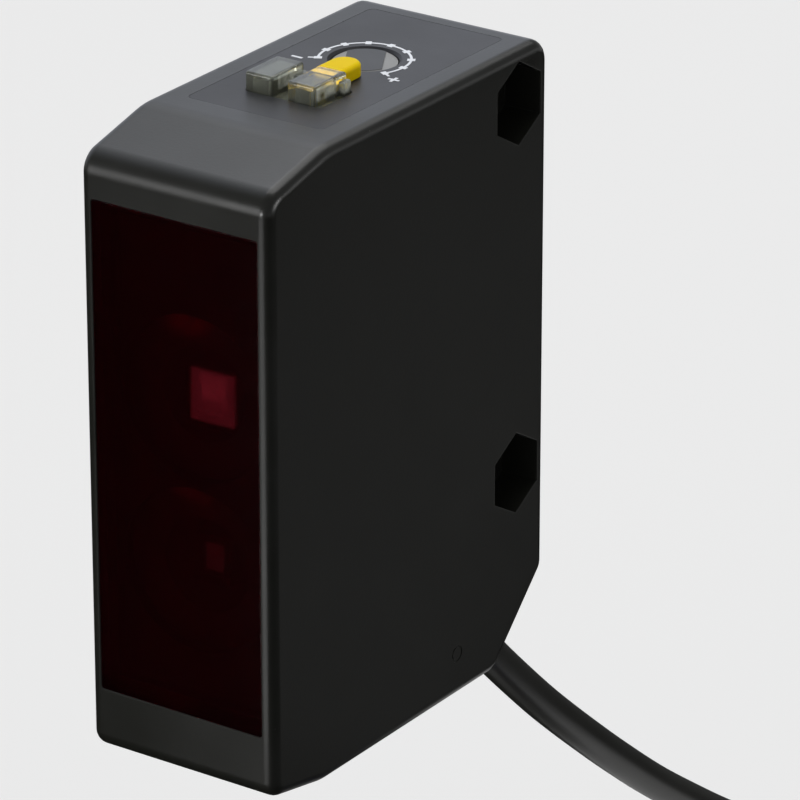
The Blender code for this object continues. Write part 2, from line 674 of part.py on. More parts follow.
def cut_mounting_holes(case, cover):
    length = BODY_WIDTH + 2 * OVERCUT
    for place, height in enumerate(HOLE_HEIGHTS):
        hole = add_cylinder(
            f"hole_cutter_{place + 1}", (0, HOLE_Y, height), HOLE_RADIUS, length, "X", SMALL_SIDES
        )
        cut(case, hole)
        cut(cover, hole)
        pocket = add_outline(
            f"nut_pocket_{place + 1}",
            [nut_pocket_outline(height)],
            HALF_WIDTH - NUT_POCKET_DEPTH,
            HALF_WIDTH + OVERCUT,
            "X",
        )
        cut(case, pocket)


def cut_cable_hole(case):
    hole = add_cone(
        "cable_hole_cutter", EXIT, (BUSH_RADIUS + FIT,) * 2, 4 * WALL, sides=SMALL_SIDES, turn=EXIT_TURN
    )
    cut(case, hole)


def make_case():
    case = add_outline("case", [rounded(body_corners())], -HALF_WIDTH, HALF_WIDTH, "X", CASE_BLACK)
    add_bevel(case, SIDE_EDGE_RADIUS, 4, 50)
    cut(case, make_cavity())
    cut_window_opening(case)
    cut_top_openings(case)
    cut_cable_hole(case)
    return case


def make_side_cover():
    outline = rounded(cavity_corners(FIT))
    cover = add_outline("side_cover", [outline], -HALF_WIDTH, INNER_LEFT, "X", CASE_BLACK)
    add_bevel(cover, COVER_EDGE_BEVEL, 2)
    return cover


def make_front_window():
    outline = window_outline(0.0, WINDOW_CORNER)
    rear = WINDOW_SINK + WINDOW_THICKNESS
    window = add_outline("front_window", [outline], WINDOW_SINK, rear, "Y", WINDOW_RED)
    add_bevel(window, WINDOW_BEVEL, 2)


def add_barrel(holder, name, height):
    # A seat for the lens at the front, then a bore that narrows to the rear.
    seat_depth = LENS_EDGE + LENS_CROWN + FIT
    seat_length = seat_depth + OVERCUT
    seat_middle = HOLDER_FRONT + seat_depth - seat_length / 2
    cut(holder, add_cylinder(name + "_seat", (0, seat_middle, height), LENS_RADIUS + FIT, seat_length, "Y"))
    bore_front = HOLDER_FRONT + seat_depth - FIT
    bore_length = HOLDER_REAR + OVERCUT - bore_front
    radii = (LENS_RADIUS - LENS_SEAT_LEDGE, BARREL_REAR_RADIUS)
    cut(holder, add_cone(name + "_bore", (0, bore_front + bore_length / 2, height), radii, bore_length, "Y"))


def make_lens_holder():
    low = (-HOLDER_SIDE, HOLDER_FRONT, HOLDER_LOW)
    holder = add_box("lens_holder", low, (HOLDER_SIDE, HOLDER_REAR, HOLDER_HIGH), HOLDER_BLACK)
    add_barrel(holder, "emitter_barrel", EMITTER_LENS_HEIGHT)
    add_barrel(holder, "receiver_barrel", RECEIVER_LENS_HEIGHT)


def make_lens(name, height):
    # A plano-convex disc, its crown towards the window.
    crown_radius = (LENS_RADIUS**2 + LENS_CROWN**2) / (2 * LENS_CROWN)
    steps = 6
    profile = []
    for step in range(steps + 1):
        across = LENS_RADIUS * step / steps
        profile.append((across, LENS_CROWN - crown_radius + math.sqrt(crown_radius**2 - across**2)))
    profile += [(LENS_RADIUS, -LENS_EDGE), (0, -LENS_EDGE)]
    place = (0, HOLDER_FRONT + LENS_CROWN, height)
    add_turned(name, profile, LENS_CLEAR, place, (math.pi / 2, 0, 0), ROUND_SIDES)


def make_optic_block(name, chip_name, height, size, mouth, finish, chip_finish):
    rear = MAIN_BOARD_FRONT - FIT
    block = add_box(
        name,
        (-size[0] / 2, BLOCK_FRONT, height - size[1] / 2),
        (size[0] / 2, rear, height + size[1] / 2),
        finish,
        OPTIC_BLOCK_BEVEL,
    )
    opening = add_box(
        name + "_mouth",
        (-mouth[0] / 2, BLOCK_FRONT - OVERCUT, height - mouth[1] / 2),
        (mouth[0] / 2, rear + OVERCUT, height + mouth[1] / 2),
    )
    cut(block, opening)
    front = BLOCK_FRONT + CHIP_SINK
    add_box(
        chip_name,
        (-mouth[0] / 2 + FIT, front, height - mouth[1] / 2 + FIT),
        (mouth[0] / 2 - FIT, front + CHIP_LENGTH, height + mouth[1] / 2 - FIT),
        chip_finish,
    )


def make_boards():
    side = INNER_RIGHT - 3 * FIT
    add_box(
        "main_board",
        (-side, MAIN_BOARD_FRONT, MAIN_BOARD_LOW),
        (side, MAIN_BOARD_REAR, MAIN_BOARD_HIGH),
        BOARD_GREEN,
    )
    add_box(
        "top_board",
        (-side, TOP_BOARD_FRONT, TOP_BOARD_UNDERSIDE),
        (side, TOP_BOARD_REAR, TOP_BOARD_TOP),
        BOARD_GREEN,
    )


def on_main_board(name, x, height, size, finish, bevel=0.0):
    rear = MAIN_BOARD_REAR + FIT
    low = (x - size[0] / 2, rear, height - size[2] / 2)
    high = (x + size[0] / 2, rear + size[1], height + size[2] / 2)
    return add_box(name, low, high, finish, bevel)


def make_board_parts():
    # Link and row hang from the top board; the controller and the can share the room down to the core pads.
    pads_top = CORE_PAD_HEIGHT + CORE_PAD_ROOM
    row_bottom = ROW_HEIGHT - CAPACITOR_RADIUS
    gap = (row_bottom - pads_top - CONTROLLER_SIDE - SHIELD_SIZE[2]) / 3
    controller_height = row_bottom - gap - CONTROLLER_SIDE / 2
    shield_height = pads_top + gap + SHIELD_SIZE[2] / 2
    controller = (CONTROLLER_SIDE, CONTROLLER_THICKNESS, CONTROLLER_SIDE)
    on_main_board("board_link", 0, LINK_HEIGHT, LINK_SIZE, CHIP_BLACK)
    on_main_board("controller_chip", 0, controller_height, controller, CHIP_BLACK, CHIP_BEVEL)
    on_main_board("driver_chip", DRIVER_X, ROW_HEIGHT, DRIVER_SIZE, CHIP_BLACK, CHIP_BEVEL)
    on_main_board("amplifier_chip", 0, shield_height, AMPLIFIER_SIZE, CHIP_BLACK, CHIP_BEVEL)
    can = on_main_board("shield_can", 0, shield_height, SHIELD_SIZE, TINNED, CAN_BEVEL)
    rear = MAIN_BOARD_REAR + FIT
    side = SHIELD_SIZE[0] / 2 - SHIELD_SHEET
    tall = SHIELD_SIZE[2] / 2 - SHIELD_SHEET
    hollow = add_box(
        "shield_hollow",
        (-side, rear - OVERCUT, shield_height - tall),
        (side, rear + SHIELD_SIZE[1] - SHIELD_SHEET, shield_height + tall),
    )
    cut(can, hollow)
    capacitor_middle = rear + CAPACITOR_LENGTH / 2
    capacitor = add_cylinder(
        "filter_capacitor",
        (CAPACITOR_X, capacitor_middle, ROW_HEIGHT),
        CAPACITOR_RADIUS,
        CAPACITOR_LENGTH,
        "Y",
        SMALL_SIDES,
        TINNED,
    )
    add_bevel(capacitor, CAN_BEVEL, 2)


def make_top_film():
    holes = [indicator_opening(FIT), circle((0, DIAL_Y), DIAL_WELL_RADIUS)]
    add_outline(
        "top_film", [film_outline(), *holes], BODY_HEIGHT - FILM_THICKNESS, BODY_HEIGHT, finish=FILM_GREY
    )


def make_dial():
    # A disc with a broad flat grip bar left standing between two sloping segments, on a stepped shaft.
    axis = add_empty("dial_axis", (0, DIAL_Y, 0), DATUM)
    bottom = DIAL_WELL_FLOOR + FIT
    rim = BODY_HEIGHT - DIAL_RIM_SINK
    top = BODY_HEIGHT - DIAL_BAR_SINK
    shaft_end = POT_TOP - DIAL_SHAFT_IN_POT
    profile = [
        (0, top),
        (DIAL_RADIUS - DIAL_EDGE_CHAMFER, top),
        (DIAL_RADIUS, rim),
        (DIAL_RADIUS, bottom),
        (DIAL_SHAFT_RADIUS, bottom),
        (DIAL_SHAFT_RADIUS, shaft_end),
        (0, shaft_end),
    ]
    dial = add_turned("adjuster_dial", profile, DIAL_GREY, sides=ROUND_SIDES)
    dial.parent = axis
    dial.rotation_euler = (0, 0, math.radians(DIAL_POINTER_ANGLE))
    slope = DIAL_SEGMENT_DEPTH / (DIAL_RADIUS - DIAL_BAR_WIDTH / 2)
    reach = DIAL_RADIUS + OVERCUT
    step = top - DIAL_BAR_STEP
    for name, way in (("dial_segment_left", 1), ("dial_segment_right", -1)):
        # In the dial's own frame its bar lies along +X, so the segments lie on both sides in y.
        edge = [
            (way * DIAL_BAR_WIDTH / 2, top + OVERCUT),
            (way * DIAL_BAR_WIDTH / 2, step),
            (way * reach, step - slope * (reach - DIAL_BAR_WIDTH / 2)),
            (way * reach, top + OVERCUT),
        ]
        segment = add_outline(name, [edge], -reach, reach, "X")
        segment.parent = dial
        segment.location = (0, 0, 0)
        cut(dial, segment)


def make_dial_seal():
    ring_radius = DIAL_SHAFT_RADIUS + SEAL_WIRE_RADIUS + FIT
    sides = 10
    turns = [math.pi / 2 - 2 * math.pi * side / sides for side in range(sides)]
    wire = [
        (ring_radius + SEAL_WIRE_RADIUS * math.cos(turn), SEAL_WIRE_RADIUS * math.sin(turn)) for turn in turns
    ]
    height = DIAL_WELL_FLOOR - SEAL_POCKET_DEPTH + FIT + SEAL_WIRE_RADIUS
    add_turned("dial_seal", wire, SEAL_RUBBER, (0, DIAL_Y, height), sides=SMALL_SIDES, closed=True)


def make_pot():
    side = POT_SIDE / 2
    low = (-side, DIAL_Y - side, POT_BOTTOM)
    pot = add_box("adjuster_pot", low, (side, DIAL_Y + side, POT_TOP), CHIP_BLACK, CHIP_BEVEL)
    depth = DIAL_SHAFT_IN_POT + RUNNING_FIT
    length = depth + OVERCUT
    middle = POT_TOP - depth + length / 2
    cut(
        pot,
        add_cylinder(
            "pot_hole", (0, DIAL_Y, middle), DIAL_SHAFT_RADIUS + RUNNING_FIT, length, sides=SMALL_SIDES
        ),
    )


def make_indicator_lens():
    # Flange under the top wall, a plateau that fills the slot, and on it two blocks, a bridge and a lug.
    flange_top = TOP_INSIDE - FIT
    margin = INDICATOR_FLANGE_MARGIN
    lens = add_outline(
        "indicator_lens", [indicator_opening(margin)], flange_top - INDICATOR_FLANGE, flange_top, finish=SMOKE
    )
    plateau_top = BODY_HEIGHT - FIT
    plateau_foot = flange_top - JOIN_OVERLAP
    plateau_outline = indicator_opening(PLATEAU_MARGIN)
    plateau = add_outline("indicator_plateau", [plateau_outline], plateau_foot, plateau_top)
    join(lens, plateau)
    foot = plateau_top - JOIN_OVERLAP
    block_top = BODY_HEIGHT + BLOCK_RISE
    for name, sides in (("left_block", LEFT_BLOCK_X), ("right_block", RIGHT_BLOCK_X)):
        low = (sides[0], BLOCK_LOW_Y, foot - OVERCUT / 2)
        join(lens, add_box(name, low, (sides[1], BLOCK_HIGH_Y, block_top), None, BLOCK_BEVEL))
    bridge = add_box(
        "indicator_bridge",
        (LEFT_BLOCK_X[1] - JOIN_OVERLAP, BLOCK_HIGH_Y - BRIDGE_LENGTH, foot),
        (RIGHT_BLOCK_X[0] + JOIN_OVERLAP, BLOCK_HIGH_Y - JOIN_INSET, BODY_HEIGHT + BRIDGE_RISE),
    )
    join(lens, bridge)
    lug = add_box(
        "indicator_lug",
        (RIGHT_BLOCK_X[1] - JOIN_OVERLAP, BLOCK_HIGH_Y - LUG_LENGTH, foot),
        (RIGHT_BLOCK_X[1] + LUG_WIDTH, BLOCK_HIGH_Y - JOIN_INSET, BODY_HEIGHT + LUG_RISE),
    )
    join(lens, lug)
    room = add_box(
        "yellow_room",
        (YELLOW_X[0] - FIT, YELLOW_TONGUE_FRONT_Y - FIT, plateau_top),
        (YELLOW_X[1] + FIT, BLOCK_HIGH_Y + OVERCUT, block_top - BLOCK_ROOF),
    )
    cut(lens, room)
    middle = sum(YELLOW_X) / 2
    stem = YELLOW_STEM_SIDE / 2 + FIT
    stem_hole = add_box(
        "yellow_stem_hole",
        (middle - stem, YELLOW_STEM_Y - stem, flange_top - 2 * INDICATOR_FLANGE),
        (middle + stem, YELLOW_STEM_Y + stem, plateau_top + JOIN_OVERLAP),
    )
    cut(lens, stem_hole)


def yellow_outline(front):
    radius = (YELLOW_X[1] - YELLOW_X[0]) / 2
    middle = sum(YELLOW_X) / 2
    centre_y = YELLOW_REAR_Y - radius
    turns = [math.pi * step / 12 for step in range(13)]
    arc = [(middle + radius * math.cos(turn), centre_y + radius * math.sin(turn)) for turn in turns]
    return [*arc, (YELLOW_X[0], front), (YELLOW_X[1], front)]


def make_yellow_lens():
    # A rounded head on the film, a low tongue under the right block and a stem down to the orange lamp.
    foot = BODY_HEIGHT + FIT / 2
    lens = add_outline(
        "yellow_lens",
        [yellow_outline(BLOCK_HIGH_Y + FIT)],
        foot,
        BODY_HEIGHT + YELLOW_RISE,
        finish=YELLOW,
    )
    add_bevel(lens, YELLOW_BEVEL, 3, 60)
    tongue = add_box(
        "yellow_tongue",
        (YELLOW_X[0] + FLUSH_STEP, YELLOW_TONGUE_FRONT_Y, foot + FLUSH_STEP),
        (YELLOW_X[1] - FLUSH_STEP, BLOCK_HIGH_Y + YELLOW_TONGUE_OVERLAP, BODY_HEIGHT + YELLOW_TONGUE_RISE),
    )
    join(lens, tongue)
    middle = sum(YELLOW_X) / 2
    half = YELLOW_STEM_SIDE / 2
    stem = add_box(
        "yellow_stem",
        (middle - half, YELLOW_STEM_Y - half, TOP_BOARD_TOP + LAMP_SIZE[2] + STEM_FROM_LAMP),
        (middle + half, YELLOW_STEM_Y + half, foot + JOIN_OVERLAP),
    )
    join(lens, stem)


def make_lamps():
    middles = {
        "green_lamp": (sum(LEFT_BLOCK_X) / 2, (BLOCK_LOW_Y + BLOCK_HIGH_Y) / 2, LAMP_GREEN),
        "orange_lamp": (sum(YELLOW_X) / 2, YELLOW_STEM_Y, LAMP_ORANGE),
    }
    bottom = TOP_BOARD_TOP + FIT
    for name, (x, y, finish) in middles.items():
        low = (x - LAMP_SIZE[0] / 2, y - LAMP_SIZE[1] / 2, bottom)
        high = (x + LAMP_SIZE[0] / 2, y + LAMP_SIZE[1] / 2, bottom + LAMP_SIZE[2])
        add_box(name, low, high, finish, LAMP_BEVEL)


def make_cable_bush():
    # Turned about the cable: a plug in the chamfer wall and a flange behind it. Its own +Z points out.
    bore = CABLE_RADIUS + FIT
    inside = -WALL - FIT
    profile = [
        (bore, BUSH_PROUD),
        (BUSH_RADIUS, BUSH_PROUD),
        (BUSH_RADIUS, inside),
        (BUSH_FLANGE_RADIUS, inside),
        (BUSH_FLANGE_RADIUS, inside - BUSH_FLANGE),
        (bore, inside - BUSH_FLANGE),
    ]
    add_turned("cable_bush", profile, BUSH_RUBBER, EXIT, EXIT_TURN, ROUND_SIDES, closed=True)


def make_cores():
    start = EXIT - EXIT_WAY * (CABLE_INSIDE + FIT)
    pad_y = MAIN_BOARD_REAR + FIT
    for colour, side in CORE_SIDES.items():
        near = Vector((side * CORE_SPACING, 0, 0))
        pad = Vector((side * CORE_PAD_SPACING, pad_y, CORE_PAD_HEIGHT))
        points = [
            start + near,
            start + near - EXIT_WAY * CORE_STRAIGHT,
            pad + Vector((0, *CORE_BEND)),
            pad + Vector((0, CORE_LANDING, 0)),
            pad,
        ]
        route = smooth_route(points, CORE_POINT_SPACING)
        add_tube("core_" + colour, route, CORE_RADIUS, CORE_COLOURS[colour])


def cable_points():
    route = [EXIT - EXIT_WAY * CABLE_INSIDE, EXIT.copy()]
    route += [EXIT + Vector(place) * MM for place in CABLE_ROUTE]
    return smooth_route(route, CABLE_POINT_SPACING)


def make_coil():
    inner = COIL_MEAN_RADIUS - COIL_SECTION_WIDTH / 2
    outer = COIL_MEAN_RADIUS + COIL_SECTION_WIDTH / 2
    corner = CABLE_RADIUS
    section = rounded(
        [
            (inner, COIL_TOP, corner),
            (outer, COIL_TOP, corner),
            (outer, COIL_BASE, corner),
            (inner, COIL_BASE, corner),
        ],
        COARSE_ARC_STEP,
    )
    add_turned("cable_coil", section, CABLE_BLACK, (0, COIL_Y, 0), sides=COIL_SIDES, closed=True)


def on_coil(radius, degrees, height):
    turn = math.radians(degrees)
    return Vector((radius * math.cos(turn), COIL_Y + radius * math.sin(turn), height))


def make_coil_tie():
    inner_low = (-COIL_SECTION_WIDTH / 2 - CORD_GAP, COIL_BASE - CORD_GAP)
    inner_high = (COIL_SECTION_WIDTH / 2 + CORD_GAP, COIL_TOP + CORD_GAP)
    outer_low = tuple(value - TIE_THICKNESS for value in inner_low)
    outer_high = tuple(value + TIE_THICKNESS for value in inner_high)
    rings = [
        rectangle(outer_low, outer_high, CABLE_RADIUS + TIE_THICKNESS),
        rectangle(inner_low, inner_high, CABLE_RADIUS),
    ]
    place = on_coil(COIL_MEAN_RADIUS, TIE_ANGLE, 0)
    add_outline(
        "coil_tie",
        rings,
        -TIE_WIDTH / 2,
        TIE_WIDTH / 2,
        finish=TIE_BLACK,
        rotation=(math.pi / 2, 0, math.radians(TIE_ANGLE)),
        location=place,
    )


def make_cable_end():
    # The cable is wound clockwise. Its jacket ends on top of the coil, where the leads lie beyond it.
    tail_height = COIL_TOP + CORD_GAP + CABLE_RADIUS
    span = TAIL_TO_ANGLE - TAIL_FROM_ANGLE
    tail = [on_coil(COIL_MEAN_RADIUS, TAIL_FROM_ANGLE + span * step / 8, tail_height) for step in range(9)]
    add_tube("cable_tail", tail, CABLE_RADIUS, CABLE_BLACK)
    gap_angle = math.degrees(CORD_GAP / COIL_MEAN_RADIUS)
    low = COIL_TOP + CORD_GAP + LEAD_RADIUS
    for colour, side in CORE_SIDES.items():
        points = []
        steps = 12
        for step in range(steps + 1):
            share = step / steps
            ease = share * share * (3 - 2 * share)
            radius = COIL_MEAN_RADIUS + side * (LEAD_SPACING + (LEAD_SPREAD - LEAD_SPACING) * ease)
            start = tail_height - LEAD_DROP * abs(side)
            height = start + (low - start) * min(1, LEAD_SETTLING * ease)
            points.append(on_coil(radius, TAIL_TO_ANGLE - gap_angle - LEAD_ARC * share, height))
        add_tube("lead_" + colour, points, LEAD_RADIUS, CORE_COLOURS[colour])
        tip_start = TAIL_TO_ANGLE - LEAD_ARC - 2 * gap_angle
        tip_arc = math.degrees(TIP_LENGTH / COIL_MEAN_RADIUS)
        tip_radius = COIL_MEAN_RADIUS + side * LEAD_SPREAD
        tip = [on_coil(tip_radius, tip_start - tip_arc * step / 4, low) for step in range(5)]
        add_tube("tip_" + colour, tip, TIP_RADIUS, COPPER)


def build():
    case = make_case()
    cover = make_side_cover()
    cut_mounting_holes(case, cover)
    make_front_window()
    make_lens_holder()
    make_lens("emitter_lens", EMITTER_LENS_HEIGHT)
    make_lens("receiver_lens", RECEIVER_LENS_HEIGHT)
    make_optic_block(
        "emitter_block",
        "emitter_led",
        EMITTER_HEIGHT,
        EMITTER_BLOCK_SIZE,
        EMITTER_MOUTH_SIZE,
        EMITTER_RED,
        CHIP_DARK,
    )
    make_optic_block(
        "receiver_block",
        "receiver_diode",
        RECEIVER_HEIGHT,
        RECEIVER_BLOCK_SIZE,
        RECEIVER_MOUTH_SIZE,
        HOLDER_BLACK,
        CHIP_DARK,
    )
    make_boards()
    make_board_parts()
    make_top_film()
    make_dial()
    make_dial_seal()
    make_pot()
    make_indicator_lens()
    make_yellow_lens()
    make_lamps()
    make_cable_bush()
    make_cores()
    add_tube("cable_run", cable_points(), CABLE_RADIUS, CABLE_BLACK)
    make_coil()
    make_coil_tie()
    make_cable_end()


build()
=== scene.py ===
import json
import math

import bmesh
import bpy
from mathutils import Matrix, Vector


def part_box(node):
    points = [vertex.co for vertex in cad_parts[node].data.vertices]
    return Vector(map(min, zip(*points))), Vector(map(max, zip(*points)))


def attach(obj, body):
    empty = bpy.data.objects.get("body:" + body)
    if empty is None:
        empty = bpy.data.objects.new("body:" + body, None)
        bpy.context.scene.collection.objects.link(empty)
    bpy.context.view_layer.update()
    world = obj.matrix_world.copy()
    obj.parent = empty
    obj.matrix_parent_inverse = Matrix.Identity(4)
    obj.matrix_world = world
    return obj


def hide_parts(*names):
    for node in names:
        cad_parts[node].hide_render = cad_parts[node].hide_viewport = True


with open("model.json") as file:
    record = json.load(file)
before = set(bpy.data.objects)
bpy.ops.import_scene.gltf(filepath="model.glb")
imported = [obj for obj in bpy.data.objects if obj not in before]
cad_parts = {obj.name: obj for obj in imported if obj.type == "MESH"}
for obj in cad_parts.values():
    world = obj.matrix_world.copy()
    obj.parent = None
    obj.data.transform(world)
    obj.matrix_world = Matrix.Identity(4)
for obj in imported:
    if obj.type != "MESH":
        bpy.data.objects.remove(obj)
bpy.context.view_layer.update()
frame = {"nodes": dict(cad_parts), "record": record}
print("frame loaded,", len(frame["nodes"]), "nodes")

# Pieces are drawn in millimetres from the body's own datum: x from the middle of its width, y back from its
# front face, z up from its bottom. settle() then puts them into the frame, in metres.
mm = 0.001
caseLow, caseHigh = (Vector(corner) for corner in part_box("case"))
datum = Vector(((caseLow.x + caseHigh.x) / 2, caseLow.y, caseLow.z))
bodyWidth, bodyDepth, bodyHeight = (caseHigh - caseLow) / mm
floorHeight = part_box("coil_tie")[0][2]


def inFrame(point):
    return datum + Vector(point) * mm


# Camera

cameraView = {
    "azimuth": 34.62,  # degrees to the right of straight ahead
    "elevation": 23.27,
    "distance": 431.8,  # mm from the middle of the body
    "across": 5.93,  # mm from the middle of the body to the middle of the picture
    "up": -0.25,
    "focalPixels": 5792.1,
    "picturePixels": 800,
    "sensorWidth": 36.0,
}


def makeCamera(view):
    azimuth, elevation = math.radians(view["azimuth"]), math.radians(view["elevation"])
    right = Vector((math.cos(azimuth), math.sin(azimuth), 0))
    level = math.cos(elevation)
    back = Vector((math.sin(azimuth) * level, -math.cos(azimuth) * level, math.sin(elevation)))
    up = back.cross(right)
    target = (caseLow + caseHigh) / 2
    spot = target + (back * view["distance"] + right * view["across"] + up * view["up"]) * mm
    data = bpy.data.cameras.new("photo_camera")
    data.sensor_width = view["sensorWidth"]
    data.lens = view["focalPixels"] * view["sensorWidth"] / view["picturePixels"]
    data.clip_start = 0.01
    camera = bpy.data.objects.new("photo_camera", data)
    bpy.context.scene.collection.objects.link(camera)
    turn = Matrix((right, up, back)).transposed().to_4x4()
    camera.matrix_world = Matrix.Translation(spot) @ turn
    bpy.context.scene.camera = camera


makeCamera(cameraView)
print("camera made")


# Mesh tools

def newObject(name, data):
    thing = bpy.data.objects.new(name, data)
    bpy.context.scene.collection.objects.link(thing)
    return thing


def meshObject(name, shape):
    bmesh.ops.recalc_face_normals(shape, faces=shape.faces)
    mesh = bpy.data.meshes.new(name)
    shape.to_mesh(mesh)
    shape.free()
    return newObject(name, mesh)


def rounded(corners, arcStep):  # a closed outline whose corners are (across, up, radius)
    points = []
    for place, (across, up, radius) in enumerate(corners):
        here = Vector((across, up))
        before = (Vector(corners[place - 1][:2]) - here).normalized()
        after = (Vector(corners[(place + 1) % len(corners)][:2]) - here).normalized()
        opening = before.angle(after)
        centre = here + (before + after).normalized() * radius / math.sin(opening / 2)
        start = here + before * radius / math.tan(opening / 2) - centre
        sweep = math.pi - opening
        turnsLeft = start.x * (here - centre).y - start.y * (here - centre).x > 0
        steps = max(1, math.ceil(math.degrees(sweep) / arcStep - 0.01))
        for step in range(steps + 1):
            turn = sweep * step / steps * (1 if turnsLeft else -1)
            points.append(tuple(centre + Matrix.Rotation(turn, 2) @ start))
    return points


def rectangle(low, high, radius, margin=0.0, arcStep=15.0, smallest=0.02):
    left, bottom = low[0] - margin, low[1] - margin
    right, top = high[0] + margin, high[1] + margin
    ends = ((left, bottom), (left, top), (right, top), (right, bottom))
    return rounded([(*end, max(radius + margin, smallest)) for end in ends], arcStep)


def circle(centre, radius, sides=96):
    turns = [2 * math.pi * side / sides for side in range(sides)]
    return [(centre[0] + radius * math.cos(turn), centre[1] + radius * math.sin(turn)) for turn in turns]


def inset(corners, distances, smallest=0.4):  # moved inwards edge by edge, for corners that run clockwise
    lines = []
    for place, corner in enumerate(corners):
        start, end = Vector(corner[:2]), Vector(corners[(place + 1) % len(corners)][:2])
        way = (end - start).normalized()
        lines.append((start + Vector((way.y, -way.x)) * distances[place], way))
    moved = []
    for place, corner in enumerate(corners):
        (a, alongA), (b, alongB) = lines[place - 1], lines[place]
        cross = alongA.x * alongB.y - alongA.y * alongB.x
        share = ((b - a).x * alongB.y - (b - a).y * alongB.x) / cross
        radius = max(corner[2] - max(distances[place - 1], distances[place]), smallest)
        moved.append((*(a + alongA * share), radius))
    return moved


def loft(name, layers, axis="Z"):  # layers are (outline, level), all outlines with as many points
    spots = {
        "X": lambda across, up, level: (level, across, up),
        "Y": lambda across, up, level: (across, level, up),
        "Z": lambda across, up, level: (across, up, level),
    }[axis]
    shape = bmesh.new()
    rings = [[shape.verts.new(spots(*point, level)) for point in outline] for outline, level in layers]
    count = len(rings[0])
    for lower, upper in zip(rings, rings[1:]):
        for side in range(count):
            follow = (side + 1) % count
            shape.faces.new((lower[side], lower[follow], upper[follow], upper[side]))
    shape.faces.new(rings[0])
    shape.faces.new(rings[-1])
    return meshObject(name, shape)


def prism(name, outline, low, high, axis="Z"):
    return loft(name, [(outline, low), (outline, high)], axis)


def quarter(steps):
    return [math.pi / 2 * step / steps for step in range(steps + 1)]


def cushioned(outline, low, high, topRound, bottomRound=0.0, steps=4):
    # Layers of a block whose upper and lower edges are rounded. outline(margin) gives the outline.
    layers = [
        (outline(-bottomRound * (1 - math.sin(turn))), low + bottomRound * (1 - math.cos(turn)))
        for turn in (quarter(steps) if bottomRound else [0.0])
    ]
    return layers + [
        (outline(-topRound * (1 - math.cos(turn))), high - topRound * (1 - math.sin(turn)))
        for turn in quarter(steps)
    ]


def block(name, low, high, bottom, top, edge, corner=0.25, bottomEdge=0.0):
    outline = lambda margin: rectangle(low, high, corner, margin)
    return loft(name, cushioned(outline, bottom, top, edge, bottomEdge))


def turned(name, profile, sides=96):  # a closed profile of (radius, height), turned about Z
    shape = bmesh.new()
    rings = []
    for radius, height in profile:
        if radius < 1e-6:
            rings.append([shape.verts.new((0, 0, height))] * sides)
            continue
        rings.append([shape.verts.new((*point, height)) for point in circle((0, 0), radius, sides)])
    for lower, upper in zip(rings, rings[1:] + rings[:1]):
        if lower[0] is lower[1] and upper[0] is upper[1]:
            continue
        for side in range(sides):
            follow = (side + 1) % sides
            face = [lower[side], lower[follow], upper[follow], upper[side]]
            shape.faces.new(list(dict.fromkeys(face)))
    return meshObject(name, shape)


def bake(thing):
    graph = bpy.context.evaluated_depsgraph_get()
    graph.update()
    mesh = bpy.data.meshes.new_from_object(thing.evaluated_get(graph))
    old = thing.data
    thing.modifiers.clear()
    if isinstance(old, bpy.types.Curve):
        made = newObject(thing.name, mesh)
        bpy.data.objects.remove(thing, do_unlink=True)
        bpy.data.curves.remove(old)
        return made
    thing.data = mesh
    bpy.data.meshes.remove(old)
    return thing


def combine(thing, others, operation="DIFFERENCE"):  # one after the other
    for other in others:
        change = thing.modifiers.new(other.name, "BOOLEAN")
        change.operation = operation
        change.object = other
        bake(thing)
        bpy.data.objects.remove(other, do_unlink=True)
    return thing


def soften(thing, width, angle, segments=2):
    edges = thing.modifiers.new("soft edges", "BEVEL")
    edges.width = width
    edges.segments = segments
    edges.limit_method = "ANGLE"
    edges.angle_limit = math.radians(angle)
    edges.harden_normals = False
    return bake(thing)


def place(thing, spot, degrees=0.0, axis="Z"):
    thing.data.transform(Matrix.Translation(spot) @ Matrix.Rotation(math.radians(degrees), 4, axis))
    return thing


def settle(thing, sharpAngle=32.0, nearest=0.0005):  # shading, then from millimetres into the frame
    shape = bmesh.new()
    shape.from_mesh(thing.data)
    bmesh.ops.remove_doubles(shape, verts=shape.verts, dist=nearest)
    bmesh.ops.dissolve_degenerate(shape, edges=shape.edges, dist=nearest)
    shape.to_mesh(thing.data)
    shape.free()
    thing.data.shade_smooth()
    thing.data.set_sharp_from_angle(angle=math.radians(sharpAngle))
    weights = thing.modifiers.new("face weights", "WEIGHTED_NORMAL")
    weights.keep_sharp = True
    bake(thing)
    thing.data.transform(Matrix.Translation(datum) @ Matrix.Scale(mm, 4))
    return thing


def dress(thing, material):
    thing.data.materials.clear()
    thing.data.materials.append(material)


def keep(thing, slot, stands=(), finish=None, body="sensor"):  # the slot's own finish if none is named
    dress(thing, finishes[finish or slot])
    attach(thing, body)
    if stands:
        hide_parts(*stands)
    return thing


def smoothRoute(points, spacing, steps=24):  # evenly spaced points on a smooth curve through the given ones
    ends = [points[0] * 2 - points[1], *points, points[-1] * 2 - points[-2]]
    fine = []
    for spot in range(len(points) - 1):
        a, b, c, d = ends[spot : spot + 4]
        for step in range(steps):
            t = step / steps
            fine.append(
                0.5 * (2 * b + (c - a) * t + (2 * a - 5 * b + 4 * c - d) * t**2)
                + 0.5 * (3 * b - a - 3 * c + d) * t**3
            )
    fine.append(points[-1])
    total = sum((b - a).length for a, b in zip(fine, fine[1:]))
    count = max(2, round(total / spacing))
    even, walked, spot = [], 0.0, 0
    for distance in [total * number / count for number in range(count)]:
        while walked + (fine[spot + 1] - fine[spot]).length < distance:
            walked += (fine[spot + 1] - fine[spot]).length
            spot += 1
        stretch = fine[spot + 1] - fine[spot]
        even.append(fine[spot] + stretch.normalized() * (distance - walked))
    return even + [fine[-1]]


